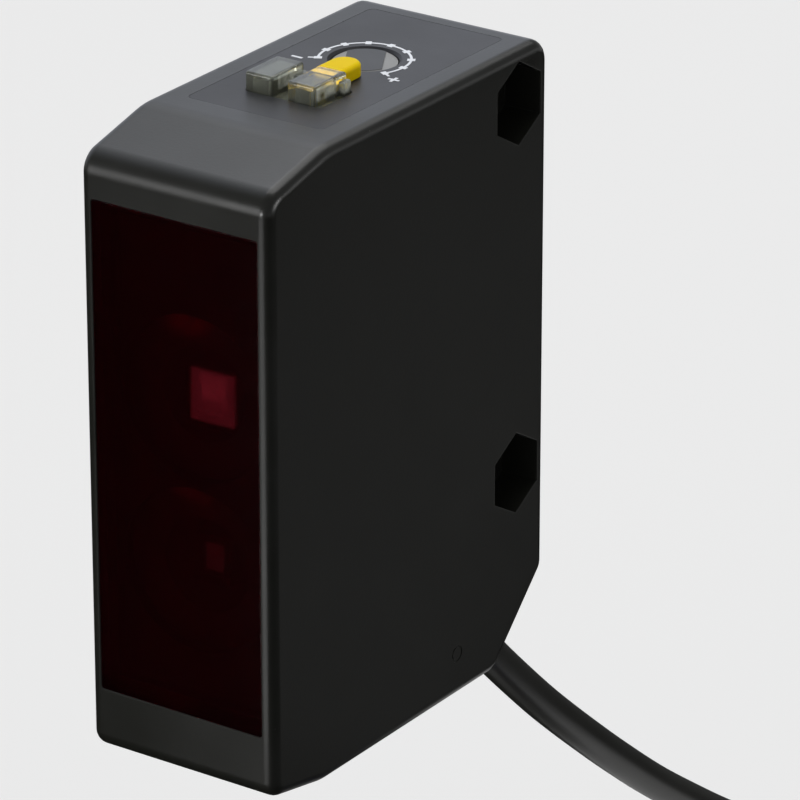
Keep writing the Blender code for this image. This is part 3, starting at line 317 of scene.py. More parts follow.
def tube(name, points, radius, resolution=6):  # points in metres, in the frame
    data = bpy.data.curves.new(name, "CURVE")
    data.dimensions = "3D"
    data.bevel_depth = radius
    data.bevel_resolution = resolution
    data.use_fill_caps = True
    line = data.splines.new("POLY")
    line.points.add(len(points) - 1)
    for spot, point in zip(line.points, points):
        spot.co = (*point, 1)
    line.use_smooth = True
    return newObject(name, data)


# Shader groups

def makeGroup(name, inputs, outputs, kind="ShaderNodeTree"):
    tree = bpy.data.node_groups.new(name, kind)
    for title, socketKind, value in inputs:
        socket = tree.interface.new_socket(name=title, in_out="INPUT", socket_type="NodeSocket" + socketKind)
        if value is not None:
            socket.default_value = value
    for title, socketKind in outputs:
        tree.interface.new_socket(name=title, in_out="OUTPUT", socket_type="NodeSocket" + socketKind)
    return tree, tree.nodes.new("NodeGroupInput").outputs, tree.nodes.new("NodeGroupOutput").inputs


def addNode(tree, kind, links, **settings):
    node = tree.nodes.new(kind)
    for title, value in settings.items():
        setattr(node, title, value)
    for socket, source in links.items():
        if isinstance(source, bpy.types.NodeSocket):
            tree.links.new(source, node.inputs[socket])
        else:
            node.inputs[socket].default_value = source
    return node


def firstOut(tree, kind, links, **settings):
    return addNode(tree, kind, links, **settings).outputs[0]


def sums(tree, operation, a, b=0.5, c=0.5, clamp=False):
    links = {0: a, 1: b, 2: c} if operation == "MULTIPLY_ADD" else {0: a, 1: b}
    return firstOut(tree, "ShaderNodeMath", links, operation=operation, use_clamp=clamp)


def ranged(tree, value, low, high, toLow=0.0, toHigh=1.0):
    links = {"Value": value, "From Min": low, "From Max": high, "To Min": toLow, "To Max": toHigh}
    return firstOut(tree, "ShaderNodeMapRange", links)


def blended(tree, factor, a, b):
    return addNode(tree, "ShaderNodeMix", {0: factor, 6: a, 7: b}, data_type="RGBA").outputs[2]


def noise(tree, spots, scale, detail=2.0, **more):
    return firstOut(tree, "ShaderNodeTexNoise", {"Vector": spots, "Scale": scale, "Detail": detail, **more})


def makeMouldedGrain():  # fine spark texture of a mould, and patches where hands have polished it
    tree, given, result = makeGroup(
        "moulded grain",
        [("Vector", "Vector", None), ("Grain Scale", "Float", 7000.0), ("Patch Scale", "Float", 90.0),
         ("Roughness", "Float", 0.45), ("Spread", "Float", 0.08)],
        [("Roughness", "Float"), ("Height", "Float")],
    )
    fine = noise(tree, given["Vector"], given["Grain Scale"], 3.0)
    coarse = sums(tree, "MULTIPLY", given["Grain Scale"], 0.55)
    links = {"Vector": given["Vector"], "Scale": coarse}
    pits = addNode(tree, "ShaderNodeTexVoronoi", links, feature="SMOOTH_F1").outputs["Distance"]
    height = sums(tree, "MULTIPLY_ADD", pits, 0.5, fine)
    patch = noise(tree, given["Vector"], given["Patch Scale"], 5.0)
    swing = ranged(tree, patch, 0.3, 0.7, -1.0, 1.0)
    rough = sums(tree, "MULTIPLY_ADD", swing, given["Spread"], given["Roughness"])
    tree.links.new(rough, result["Roughness"])
    tree.links.new(height, result["Height"])
    return tree


def makeRubbedEdges():  # outer edges polished and paler where the piece has been handled
    tree, given, result = makeGroup(
        "rubbed edges",
        [("Vector", "Vector", None), ("Color", "Color", (0, 0, 0, 1)),
         ("Rubbed Color", "Color", (0, 0, 0, 1)), ("Amount", "Float", 0.5), ("Radius", "Float", 0.0004)],
        [("Color", "Color"), ("Mask", "Float")],
    )
    soft = addNode(tree, "ShaderNodeBevel", {"Radius": given["Radius"]}, samples=4)
    true = tree.nodes.new("ShaderNodeNewGeometry")
    links = {0: soft.outputs[0], 1: true.outputs["Normal"]}
    same = addNode(tree, "ShaderNodeVectorMath", links, operation="DOT_PRODUCT")
    edge = ranged(tree, same.outputs["Value"], 0.995, 0.85)
    worn = ranged(tree, noise(tree, given["Vector"], 420.0, 6.0), 0.38, 0.62, 0.25, 1.0)
    mask = sums(tree, "MULTIPLY", sums(tree, "MULTIPLY", edge, worn), given["Amount"], clamp=True)
    tree.links.new(blended(tree, mask, given["Color"], given["Rubbed Color"]), result["Color"])
    tree.links.new(mask, result["Mask"])
    return tree


def makeFineDust(speckStrength=7.0):  # small pale specks, most of them on faces that look up
    tree, given, result = makeGroup(
        "fine dust",
        [("Vector", "Vector", None), ("Color", "Color", (0, 0, 0, 1)),
         ("Dust Color", "Color", (0.3, 0.3, 0.3, 1)), ("Amount", "Float", 0.3),
         ("Speck Scale", "Float", 900.0)],
        [("Color", "Color"), ("Mask", "Float")],
    )
    links = {"Vector": given["Vector"], "Scale": given["Speck Scale"]}
    cells = addNode(tree, "ShaderNodeTexVoronoi", links)
    size = addNode(tree, "ShaderNodeSeparateColor", {0: cells.outputs["Color"]})
    reach = ranged(tree, size.outputs[0], 0.86, 1.0, 0.0, 0.055)
    speck = sums(tree, "MULTIPLY", sums(tree, "LESS_THAN", cells.outputs["Distance"], reach), speckStrength)
    haze = ranged(tree, noise(tree, given["Vector"], 160.0, 7.0, Roughness=0.7), 0.5, 0.8, 0.0, 0.25)
    normal = tree.nodes.new("ShaderNodeNewGeometry").outputs["Normal"]
    up = addNode(tree, "ShaderNodeSeparateXYZ", {0: normal}).outputs["Z"]
    facing = ranged(tree, up, -0.2, 1.0, 0.15, 1.0)
    both = sums(tree, "MAXIMUM", speck, haze)
    mask = sums(tree, "MULTIPLY", sums(tree, "MULTIPLY", both, facing), given["Amount"], clamp=True)
    tree.links.new(blended(tree, mask, given["Color"], given["Dust Color"]), result["Color"])
    tree.links.new(mask, result["Mask"])
    return tree


def makeHairlines():  # faint scratches from wiping, along two slanting ways
    tree, given, result = makeGroup(
        "hairlines",
        [("Vector", "Vector", None), ("Scale", "Float", 300.0), ("Roughness", "Float", 0.1),
         ("Spread", "Float", 0.2)],
        [("Roughness", "Float"), ("Height", "Float")],
    )
    found = None
    for angle, stretch in ((0.45, 22.0), (-1.0, 17.0)):
        links = {
            "Vector": given["Vector"], "Rotation": (angle, angle * 0.6, angle),
            "Scale": (stretch, 1.0, stretch),
        }
        lines = noise(tree, firstOut(tree, "ShaderNodeMapping", links), given["Scale"])
        near = sums(tree, "ABSOLUTE", sums(tree, "SUBTRACT", lines, 0.5))
        line = ranged(tree, near, 0.012, 0.0)
        found = line if found is None else sums(tree, "MAXIMUM", found, line)
    rough = sums(tree, "MULTIPLY_ADD", found, given["Spread"], given["Roughness"])
    tree.links.new(rough, result["Roughness"])
    tree.links.new(found, result["Height"])
    return tree


grainGroup = makeMouldedGrain()
edgeGroup = makeRubbedEdges()
dustGroup = makeFineDust()
hairlineGroup = makeHairlines()


def emptyTree(owner):
    owner.use_nodes = True
    owner.node_tree.nodes.clear()
    return owner.node_tree


def startMaterial(name, shaderValues):
    material = bpy.data.materials.new(name)
    material.use_nodes = True
    tree = material.node_tree
    shader = tree.nodes["Principled BSDF"]
    for socket, value in shaderValues.items():
        shader.inputs[socket].default_value = value
    return material, tree, shader, tree.nodes.new("ShaderNodeTexCoord").outputs["Object"]


def useGroup(tree, group, links):
    return addNode(tree, "ShaderNodeGroup", links, node_tree=group).outputs


def addBump(tree, shader, height, strength, distance):
    links = {"Height": height, "Strength": strength, "Distance": distance}
    tree.links.new(firstOut(tree, "ShaderNodeBump", links), shader.inputs["Normal"])


def insideBox(tree, spots, box, soft):  # 1 inside two corners given in millimetres at the datum, else 0
    parts = addNode(tree, "ShaderNodeSeparateXYZ", {0: spots})
    mask = 1.0
    for axis, low, high in zip("XYZ", inFrame(box[0]), inFrame(box[1])):
        rises = ranged(tree, parts.outputs[axis], low - soft * mm, low + soft * mm)
        falls = ranged(tree, parts.outputs[axis], high + soft * mm, high - soft * mm)
        mask = sums(tree, "MULTIPLY", sums(tree, "MULTIPLY", rises, falls), mask)
    return mask


# a glow in the given mask: the painted glows, and the emitter source's own light
def litUp(tree, shader, amount, colour):
    tree.links.new(blended(tree, amount, (0, 0, 0, 1), (*colour, 1)), shader.inputs["Emission Color"])


def mouldedPlastic(name, colour, rubbed, wear, dust, grainScale, grainDepth, roughness, more):
    # Grain, rubbed edges and dust on one moulded plastic or rubber, and a painted glow where a box for it is
    # given.
    material, tree, shader, spots = startMaterial(name, more.get("shader", {}))
    paler = tuple(min(1, value * more.get("shadeGain", 1.25)) for value in colour)
    varied = blended(tree, noise(tree, spots, 60.0), (*colour, 1), (*paler, 1))
    edge = useGroup(tree, edgeGroup, {
        "Vector": spots, "Color": varied, "Rubbed Color": (*rubbed, 1), "Amount": wear,
        "Radius": more.get("wearRadius", 0.3) * mm,
    })
    dusty = useGroup(tree, dustGroup, {
        "Vector": spots, "Color": edge["Color"], "Dust Color": (0.32, 0.31, 0.29, 1), "Amount": dust,
    })
    grain = useGroup(tree, grainGroup, {
        "Vector": spots, "Grain Scale": grainScale, "Patch Scale": more.get("patchScale", 90.0),
        "Roughness": roughness, "Spread": more.get("spread", 0.06),
    })
    rougher = sums(tree, "MULTIPLY_ADD", dusty["Mask"], 0.4, grain["Roughness"])
    polished = sums(tree, "MULTIPLY_ADD", edge["Mask"], -0.12, rougher)
    tree.links.new(dusty["Color"], shader.inputs["Base Color"])
    tree.links.new(polished, shader.inputs["Roughness"])
    addBump(tree, shader, grain["Height"], grainDepth, 0.00004)
    # painted light: a glow inside the given box
    if "paintedGlowBox" in more:
        litUp(tree, shader, insideBox(tree, spots, more["paintedGlowBox"], 0.05), more["paintedGlowColour"])
    return material


def clearPlastic(name, look):  # wiped, polished plastic that light goes through, with painted glow patches where boxes are given
    material, tree, shader, spots = startMaterial(name, look["shader"])
    dust = useGroup(tree, dustGroup, {
        "Vector": spots, "Color": (*look["colour"], 1), "Dust Color": (*look["dustColour"], 1),
        "Amount": look["dust"], "Speck Scale": look.get("speckScale", 700.0),
    })
    lines = useGroup(tree, hairlineGroup, {
        "Vector": spots, "Roughness": look["roughness"], "Spread": look["spread"],
    })
    tree.links.new(dust["Color"], shader.inputs["Base Color"])
    tree.links.new(lines["Roughness"], shader.inputs["Roughness"])
    addBump(tree, shader, lines["Height"], look.get("lineDepth", 0.08), 0.00001)
    if "paintedGlowBoxes" in look:  # painted light: glow in patches, where light scattered inside the moulding would come out
        lit = 0.0
        for box in look["paintedGlowBoxes"]:
            lit = sums(tree, "ADD", insideBox(tree, spots, box, 0.1), lit)
        patchy = ranged(tree, noise(tree, spots, 1100.0), 0.3, 0.62)
        litUp(tree, shader, sums(tree, "MULTIPLY", patchy, lit), look["paintedGlowColour"])
    return material


def metalFinish(name, look):
    material, tree, shader, spots = startMaterial(name, {"Metallic": 1.0})
    stained = ranged(tree, noise(tree, spots, look["stainScale"], 6.0), 0.35, 0.7)
    tint = blended(tree, stained, (*look["colour"], 1), (*look["stain"], 1))
    lines = useGroup(tree, hairlineGroup, {
        "Vector": spots, "Scale": look["lineScale"], "Roughness": look["roughness"],
        "Spread": look["spread"],
    })
    tree.links.new(tint, shader.inputs["Base Color"])
    tree.links.new(lines["Roughness"], shader.inputs["Roughness"])
    addBump(tree, shader, lines["Height"], 0.2, 0.00001)
    return material


dull, glossier = {"Specular IOR Level": 0.36}, {"Specular IOR Level": 0.42}
mouldedLooks = {  # name, colour, rubbed colour, wear, dust, grain scale and depth, roughness, and the rest
    "case": ("case black", (0.0068, 0.0069, 0.0054), (0.035, 0.035, 0.032), 0.5, 0.07, 7000, 0.12, 0.33,
             {"shader": glossier}),
    "holder": ("holder black", (0.006, 0.0058, 0.0056), (0.02, 0.02, 0.02), 0.3, 0.02, 5000, 0.2, 0.6, {}),
    "film": ("film black", (0.015, 0.0152, 0.0188), (0.03, 0.032, 0.035), 0.25, 0.08, 9000, 0.1, 0.44,
             {"shader": dull}),
    "print": ("white print", (0.72, 0.74, 0.78), (0.4, 0.41, 0.43), 0.2, 0.05, 9000, 0.1, 0.5,
              {"shadeGain": 1.1}),
    "dial": ("dial two tone", (0.02, 0.021, 0.023), (0.09, 0.09, 0.09), 0.4, 0.08, 9000, 0.1, 0.42,
             {"wearRadius": 0.08, "shader": {"Specular IOR Level": 0.4}}),
    "chip": ("chip resin", (0.02, 0.02, 0.022), (0.06, 0.06, 0.06), 0.4, 0.1, 9000, 0.25, 0.5, {}),
    "board": ("board lacquer", (0.012, 0.09, 0.035), (0.2, 0.17, 0.08), 0.6, 0.1, 3000, 0.1, 0.28, {}),
    "rubber": ("bush rubber", (0.012, 0.012, 0.0118), (0.035, 0.035, 0.033), 0.5, 0.2, 4000, 0.25, 0.68, {}),
    "yellow": ("yellow guide", (0.78, 0.55, 0.001), (0.93, 0.68, 0.004), 0.3, 0.004, 4000, 0.05, 0.42, {
        "shadeGain": 1.03, "paintedGlowColour": (1.0, 0.6, 0.01),
        "paintedGlowBox": ((-0.5, 16.3, bodyHeight + 0.6), (2.3, 17.5, bodyHeight + 1.0)),  # painted glow on the tongue in the block, for light that reaches it through the clear block
        "shader": {
            "Subsurface Weight": 0.2, "Subsurface Radius": (0.9, 0.5, 0.02), "Subsurface Scale": 0.0006,
            "Specular IOR Level": 0.04, "Emission Strength": 2.4,
        },
    }),
    "lamp_green": ("lamp green", (0.1, 0.4, 0.12), (0.3, 0.5, 0.3), 0.3, 0.05, 4000, 0.05, 0.3, {}),
    "lamp_orange": ("lamp orange", (0.7, 0.22, 0.03), (0.8, 0.4, 0.1), 0.3, 0.05, 4000, 0.05, 0.3, {}),
    "cable": ("cable jacket", (0.0085, 0.0085, 0.0064), (0.02, 0.02, 0.018), 0.1, 0.06, 3500, 0.1, 0.38,
              {"patchScale": 40, "spread": 0.07}),
    "tie": ("tie nylon", (0.016, 0.016, 0.016), (0.05, 0.05, 0.05), 0.5, 0.1, 5000, 0.12, 0.38, {}),
    "core_brown": ("core brown", (0.11, 0.035, 0.014), (0.2, 0.08, 0.04), 0.3, 0.05, 5000, 0.08, 0.4, {}),
    "core_blue": ("core blue", (0.012, 0.06, 0.32), (0.05, 0.15, 0.5), 0.3, 0.05, 5000, 0.08, 0.4, {}),
    "core_black": ("core black", (0.012, 0.012, 0.012), (0.04, 0.04, 0.04), 0.3, 0.05, 5000, 0.08, 0.4, {}),
}
finishes = {
    **{slot: mouldedPlastic(*look) for slot, look in mouldedLooks.items()},
    "tinned_steel": metalFinish("tinned steel", {
        "colour": (0.62, 0.62, 0.6), "stain": (0.5, 0.49, 0.46), "stainScale": 300.0,
        "lineScale": 400.0, "roughness": 0.28, "spread": 0.2,
    }),
    "tinned_copper": metalFinish("tinned copper", {
        "colour": (0.72, 0.7, 0.66), "stain": (0.62, 0.5, 0.4), "stainScale": 900.0,
        "lineScale": 900.0, "roughness": 0.25, "spread": 0.15,
    }),
    "window": clearPlastic("window red", {
        "colour": (0.14, 0.008, 0.014), "dustColour": (0.3, 0.2, 0.18), "dust": 0.1,
        "roughness": 0.03, "spread": 0.1,
        "shader": {"Transmission Weight": 0.99, "IOR": 1.3},
    }),
    "lens": clearPlastic("lens clear", {
        "colour": (0.85, 0.85, 0.86), "dustColour": (0.5, 0.5, 0.5), "dust": 0.03,
        "roughness": 0.02, "spread": 0.05, "shader": {"Transmission Weight": 0.97, "IOR": 1.3},
    }),
    "smoke": clearPlastic("indicator smoke", {
        "colour": (0.5, 0.52, 0.43), "dustColour": (0.6, 0.6, 0.56), "dust": 0.1, "speckScale": 1500.0,
        "roughness": 0.15, "spread": 0.12, "lineDepth": 0.15,
        # painted light: glow patches on the blocks' sides, for light scattered inside the moulding
        "shader": {"Transmission Weight": 0.91, "IOR": 1.5, "Emission Strength": 1.0},
        "paintedGlowColour": (0.15, 0.155, 0.135),
        "paintedGlowBoxes": [
            ((2.7, 13.6, bodyHeight + 0.25), (3.0, 16.3, bodyHeight + 1.25)),
            ((2.9, 16.3, bodyHeight + 0.2), (3.4, 17.4, bodyHeight + 1.05)),
            ((-1.1, 14.2, bodyHeight + 0.3), (-0.8, 17.2, bodyHeight + 1.3)),
        ],
    }),
}
print("finishes made,", len(finishes))


def litFinish(name, colour, roughness, strength, glows):
    # Inner optics. The emitter source's glow is its own light, and the glows on the emitter block and the
    # receiver chip are painted light. Each glow is a box of two corners in millimetres at the datum, its
    # share and soft edge.
    material, tree, shader, spots = startMaterial(name, {"Emission Strength": strength})
    grain = useGroup(tree, grainGroup, {"Vector": spots, "Roughness": roughness, "Grain Scale": 5000.0})
    uneven = noise(tree, spots, 700.0, 4.0)
    base = blended(tree, uneven, (*colour, 1), (*(value * 0.7 for value in colour), 1))
    tree.links.new(base, shader.inputs["Base Color"])
    tree.links.new(grain["Roughness"], shader.inputs["Roughness"])
    addBump(tree, shader, grain["Height"], 0.1, 0.00003)
    glow = 0.0
    for box, share, soft in glows:
        glow = sums(tree, "ADD", sums(tree, "MULTIPLY", insideBox(tree, spots, box, soft), share), glow)
    patchy = ranged(tree, uneven, 0.0, 1.0, 0.75, 1.0)
    litUp(tree, shader, sums(tree, "MULTIPLY", patchy, glow), (1, 1, 1))
    return material


# Cable, with its whole length wound below the sensor

cableShape = {
    "radius": 1.5,
    "inside": 5.5,  # length held in the bush
    "length": 2000.0,
    "across": 4,  # turns in a layer
    "layers": 4,
    "spacing": 1.6,
    "joinSteps": 5,
    "turnPoints": 48,
    "shiftArc": 60.0,  # degrees in which a turn moves over to the next place
    "climbBulge": 1.2,
    "rearChamfer": 6.6,
    "wholeTurns": 15,
    "lastArc": 170.0,  # degrees of the last turn before it climbs on top
    "tailFrom": -240.0,
    "tailTo": -300.0,
}
exitSpot = Vector((0, bodyDepth - cableShape["rearChamfer"] / 2, cableShape["rearChamfer"] / 2))
exitWay = Vector((0, math.sqrt(0.5), -math.sqrt(0.5)))
cableRoute = (  # millimetres from the point where the cable leaves the rear chamfer
    (0.0, 4.2, -4.2), (0.0, 8.7, -9.0), (0.0, 14.7, -14.8), (0.0, 18.7, -18.4), (0.0, 22.9, -22.0),
    (0.0, 27.1, -25.5), (0.0, 33.0, -30.2), (0.1, 39.0, -34.6), (0.8, 45.4, -39.1), (3.0, 51.6, -43.0),
    (7.2, 57.0, -45.8), (12.8, 60.4, -46.8), (19.2, 60.4, -46.85), (24.6, 56.8, -46.85), (27.2, 50.6, -46.85),
    (26.9, 42.0, -46.8), (25.4, 33.0, -46.6), (23.7, 24.5, -46.3), (22.6, 15.5, -46.0),
)
coilLow, coilHigh = (Vector(corner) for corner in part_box("cable_coil"))
coilCentre = ((coilLow + coilHigh) / 2 - datum) / mm
coilBase, coilTop = (coilLow.z - datum.z) / mm, (coilHigh.z - datum.z) / mm
coilOuter = (coilHigh.x - coilLow.x) / 2 / mm
coilMiddle = coilOuter - cableShape["across"] * cableShape["radius"]  # radius of the middle of a layer


def onCoil(radius, degrees, height):
    turn = math.radians(degrees)
    return Vector((coilCentre.x + radius * math.cos(turn), coilCentre.y + radius * math.sin(turn), height))


def eased(share):
    share = min(1.0, max(0.0, share))
    return share * share * (3 - 2 * share)


def coilPoints(shape):
    # Clockwise turns, one layer from the outside in and the next from the inside out.
    radius, across = shape["radius"], shape["across"]
    outer = coilOuter - radius
    places = []
    for layer in range(shape["layers"]):
        columns = range(across) if layer % 2 == 0 else range(across - 1, -1, -1)
        places += [(outer - 2 * radius * column, coilBase + radius * (1 + 2 * layer)) for column in columns]
    points = []
    for turn in range(shape["wholeTurns"]):
        here, after = places[turn], places[turn + 1]
        for step in range(shape["turnPoints"]):
            degrees = 360.0 * step / shape["turnPoints"]
            share = eased((degrees - 360 + shape["shiftArc"]) / shape["shiftArc"])
            climbs = after[1] > here[1]
            outward = 1 if here[0] > outer - radius else -1
            bulge = outward * shape["climbBulge"] * math.sin(math.pi * share) if climbs else 0.0
            spot = here[0] + (after[0] - here[0]) * share + bulge
            points.append(onCoil(spot, -degrees, here[1] + (after[1] - here[1]) * share))
    last = places[shape["wholeTurns"]]
    middle, top = outer - (across - 1) * radius, coilTop + radius
    arcSteps = round(shape["turnPoints"] * -shape["tailTo"] / 360)
    for step in range(arcSteps + 1):
        degrees = shape["tailTo"] * step / arcSteps
        share = eased((-degrees - shape["lastArc"]) / (-shape["tailFrom"] - shape["lastArc"]))
        height = last[1] + (top - last[1]) * share
        points.append(onCoil(last[0] + (middle - last[0]) * share, degrees, height))
    return points


def makeCable(shape):
    route = [exitSpot - exitWay * shape["inside"], exitSpot.copy()]
    route += [exitSpot + Vector(step) for step in cableRoute]
    coil = coilPoints(shape)
    start = route[-1] - Vector((coilCentre.x, coilCentre.y, 0))
    startAngle = math.degrees(math.atan2(start.y, start.x))
    startRadius = math.hypot(start.x, start.y)
    for step in range(1, shape["joinSteps"]):
        share = step / shape["joinSteps"]
        radius = startRadius + (coilOuter - shape["radius"] - startRadius) * eased(share)
        height = route[-1].z + (coil[0].z - route[-1].z) * share
        route.append(onCoil(radius, startAngle * (1 - share), height))
    points = smoothRoute(route + coil[:1], shape["spacing"])[:-1] + coil
    cable = tube("cable", [inFrame(point) for point in points], shape["radius"] * mm)
    length = sum((b - a).length for a, b in zip(points, points[1:]))
    print(f"cable made, {length:.0f} mm long")
    return cable


cable = makeCable(cableShape)
keep(cable, "cable", ("cable_run", "cable_coil", "cable_tail"))

leadShape = {"radius": 0.55, "spacing": 1.2, "spread": 1.9, "drop": 0.3, "settling": 4, "arc": 75.0,
             "gap": 0.3, "steps": 24, "pointSpacing": 0.7}
leadSides = {"brown": -1, "blue": 0, "black": 1}


def leadPoints(shape, side):
    tailHeight = coilTop + shape["gap"] + cableShape["radius"]
    low = coilTop + shape["gap"] + shape["radius"]
    start = tailHeight - shape["drop"] * abs(side)
    points = []
    for step in range(shape["steps"] + 1):
        share = step / shape["steps"]
        ease = eased(share)
        radius = coilMiddle + side * (shape["spacing"] + (shape["spread"] - shape["spacing"]) * ease)
        height = start + (low - start) * min(1, shape["settling"] * ease)
        points.append(onCoil(radius, cableShape["tailTo"] + 360 - shape["arc"] * share, height))
    return points


def makeLead(colour, side):
    points = smoothRoute(leadPoints(leadShape, side), leadShape["pointSpacing"])
    lead = tube(f"lead_{colour}_wire", [inFrame(point) for point in points], leadShape["radius"] * mm, 5)
    return keep(lead, f"core_{colour}", (f"lead_{colour}",))


# Geometry node trees

def makeTree(name, inputs):
    sockets = [("Geometry", "Geometry", None), *inputs, ("Material", "Material", None)]
    return makeGroup(name, sockets, [("Geometry", "Geometry")], "GeometryNodeTree")


def endTree(tree, made, given, result):
    real = firstOut(tree, "GeometryNodeRealizeInstances", {"Geometry": made})
    links = {"Geometry": real, "Material": given["Material"]}
    tree.links.new(firstOut(tree, "GeometryNodeSetMaterial", links), result[0])
    return tree


def runTree(thing, tree, values):
    change = thing.modifiers.new(tree.name, "NODES")
    change.node_group = tree
    for item in tree.interface.items_tree:
        if item.in_out == "INPUT" and item.name in values:
            change[item.identifier] = values[item.name]
    return bake(thing)


def makeStrandTree():  # a stranded conductor: copies of the guide curve wound round it
    tree, given, result = makeTree("stranded conductor", [
        ("Strands", "Int", 7), ("Lay Radius", "Float", 0.2), ("Strand Radius", "Float", 0.09),
        ("Twist", "Float", 3.0),
    ])
    guide = firstOut(tree, "GeometryNodeResampleCurve", {"Curve": given["Geometry"], "Count": 24})
    links = {"Geometry": guide, "Amount": given["Strands"]}
    copies = addNode(tree, "GeometryNodeDuplicateElements", links, domain="SPLINE").outputs
    share = sums(tree, "DIVIDE", copies["Duplicate Index"], given["Strands"])
    along = tree.nodes.new("GeometryNodeSplineParameter").outputs["Length"]
    phase = sums(tree, "MULTIPLY_ADD", share, 2 * math.pi, sums(tree, "MULTIPLY", along, given["Twist"]))
    normal = firstOut(tree, "GeometryNodeInputNormal", {})
    links = {"Vector": normal, "Axis": firstOut(tree, "GeometryNodeInputTangent", {}), "Angle": phase}
    outward = firstOut(tree, "ShaderNodeVectorRotate", links, rotation_type="AXIS_ANGLE")
    links = {0: outward, "Scale": given["Lay Radius"]}
    offset = firstOut(tree, "ShaderNodeVectorMath", links, operation="SCALE")
    moved = firstOut(tree, "GeometryNodeSetPosition", {"Geometry": copies[0], "Offset": offset})
    links = {"Resolution": 10, "Radius": given["Strand Radius"]}
    ring = firstOut(tree, "GeometryNodeCurvePrimitiveCircle", links)
    links = {"Curve": moved, "Profile Curve": ring, "Fill Caps": True}
    return endTree(tree, firstOut(tree, "GeometryNodeCurveToMesh", links), given, result)


tipShape = {"length": 5.0, "strands": 9, "layRadius": 0.2, "strandRadius": 0.085, "twist": 1.1}
strandTree = makeStrandTree()


def makeTip(colour, side):
    # The bared end of a lead, its strands twisted round its middle line.
    middle = coilMiddle + side * leadShape["spread"]
    gapAngle = math.degrees(leadShape["gap"] / coilMiddle)
    start = cableShape["tailTo"] + 360 - leadShape["arc"] - gapAngle
    arc = math.degrees(tipShape["length"] / middle)
    height = coilTop + leadShape["gap"] + leadShape["radius"]
    data = bpy.data.curves.new(f"tip_{colour}_strands", "CURVE")
    data.dimensions = "3D"
    line = data.splines.new("POLY")
    line.points.add(8)
    for step, spot in enumerate(line.points):
        spot.co = (*onCoil(middle, start - arc * step / 8, height), 1)
    guide = newObject(f"tip_{colour}_strands", data)
    tip = runTree(guide, strandTree, {
        "Strands": tipShape["strands"], "Lay Radius": tipShape["layRadius"],
        "Strand Radius": tipShape["strandRadius"], "Twist": tipShape["twist"],
    })
    return keep(settle(tip, 60), "tinned_copper", (f"tip_{colour}",))


tieShape = {"thickness": 0.8, "width": 2.5, "angle": 280.0, "gap": 0.3, "edge": 0.15, "headLength": 3.6,
            "headThickness": 1.9, "headBeyond": 0.45, "headSink": 0.1, "headCorner": 0.4, "headEdge": 0.25}


def makeTie(shape):
    # A flat nylon strap round the coil's section, with its head outside.
    half = cableShape["across"] * cableShape["radius"]
    low = (-half - shape["gap"], coilBase - shape["gap"])
    high = (half + shape["gap"], coilTop + shape["gap"])
    corner = cableShape["radius"]
    wide = shape["width"] / 2
    thick = shape["thickness"]
    edge = shape["edge"]
    outer = lambda margin: rectangle(low, high, corner, thick + margin, 10.0)
    strap = loft("coil_tie_strap", [
        (outer(-edge), -wide), (outer(0), -wide + edge), (outer(0), wide - edge), (outer(-edge), wide),
    ])
    combine(strap, [prism("tie_hollow", rectangle(low, high, corner, 0, 10.0), -wide - 1, wide + 1)])
    middle = (coilBase + coilTop) / 2
    headLow = (high[0] - shape["headSink"], middle - shape["headLength"] / 2)
    headHigh = (high[0] + shape["headThickness"], middle + shape["headLength"] / 2)
    reach, edge = wide + shape["headBeyond"], shape["headEdge"]
    head = block("tie_head", headLow, headHigh, -reach, reach, edge, shape["headCorner"], edge)
    combine(strap, [head], "UNION")
    turn = Matrix.Rotation(math.radians(shape["angle"]), 4, "Z") @ Matrix.Rotation(math.pi / 2, 4, "X")
    strap.data.transform(Matrix.Translation(onCoil(coilMiddle, shape["angle"], 0)) @ turn)
    return keep(settle(strap), "tie", ("coil_tie",))


cordPieces = [makeTie(tieShape)]
for colour, side in leadSides.items():
    cordPieces += [makeLead(colour, side), makeTip(colour, side)]
tuple(inFrame(exitSpot))
print("cable end and tie made,", len(cordPieces), "pieces")


# Case

caseShape = {
    "topSlope": (7.3, 1.8),  # run and drop
    "bottomSlope": (6.4, 1.2),
    "rearChamfer": 6.6,
    "sideEdge": 0.95,
    "wall": 1.4,
    "frontWall": 2.6,
    "sideWall": 1.3,
    "fit": 0.12,
    "coverEdge": 0.15,
    "bushHole": (2.52, 3.2),  # radius and depth
    "mark": {"spot": (23.8, 3.7), "radius": 0.6, "stroke": 0.16, "depth": 0.06},  # ring of the mould's pin
}


def bodyCorners(shape):
    topRun, topDrop = shape["topSlope"]
    bottomRun, bottomRise = shape["bottomSlope"]
    chamfer = shape["rearChamfer"]
    return [
        (0, bottomRise, 1.4),
        (0, bodyHeight - topDrop, 2.0),
        (topRun, bodyHeight, 6.0),
        (bodyDepth, bodyHeight, 1.8),
        (bodyDepth, chamfer, 1.5),
        (bodyDepth - chamfer, 0, 2.0),
        (bottomRun, 0, 4.0),
    ]


def bodyOutline(shape, margin=0.0):
    corners = bodyCorners(shape)
    return rounded(inset(corners, [-margin] * len(corners)) if margin else corners, 5.0)


def cavityOutline(shape, extra=0.0):
    corners = bodyCorners(shape)
    walls = [shape["frontWall"]] + [shape["wall"]] * (len(corners) - 1)
    return rounded(inset(corners, [wall + extra for wall in walls]), 7.5)


halfWidth = bodyWidth / 2
innerRight = halfWidth - caseShape["sideWall"]
innerLeft = -halfWidth + caseShape["sideWall"]
fit = caseShape["fit"]

holeShape = {"fromRear": 4.05, "heights": (45.93, 15.93), "radius": 1.65, "flats": 5.76, "depth": 3.2,
             "nutDrop": 0.1, "bossWall": 1.35, "nutWall": 1.0, "nutFloor": 1.2, "flare": 0.15,
             "nutFlare": 0.03}
holeY = bodyDepth - holeShape["fromRear"]

windowShape = {"side": 7.3, "low": 6.05, "high": 44.9, "thickness": 1.5, "sink": 0.03, "ledge": 0.8,
               "corner": 0.2, "edge": 0.03, "fit": 0.04, "flare": 0.05}

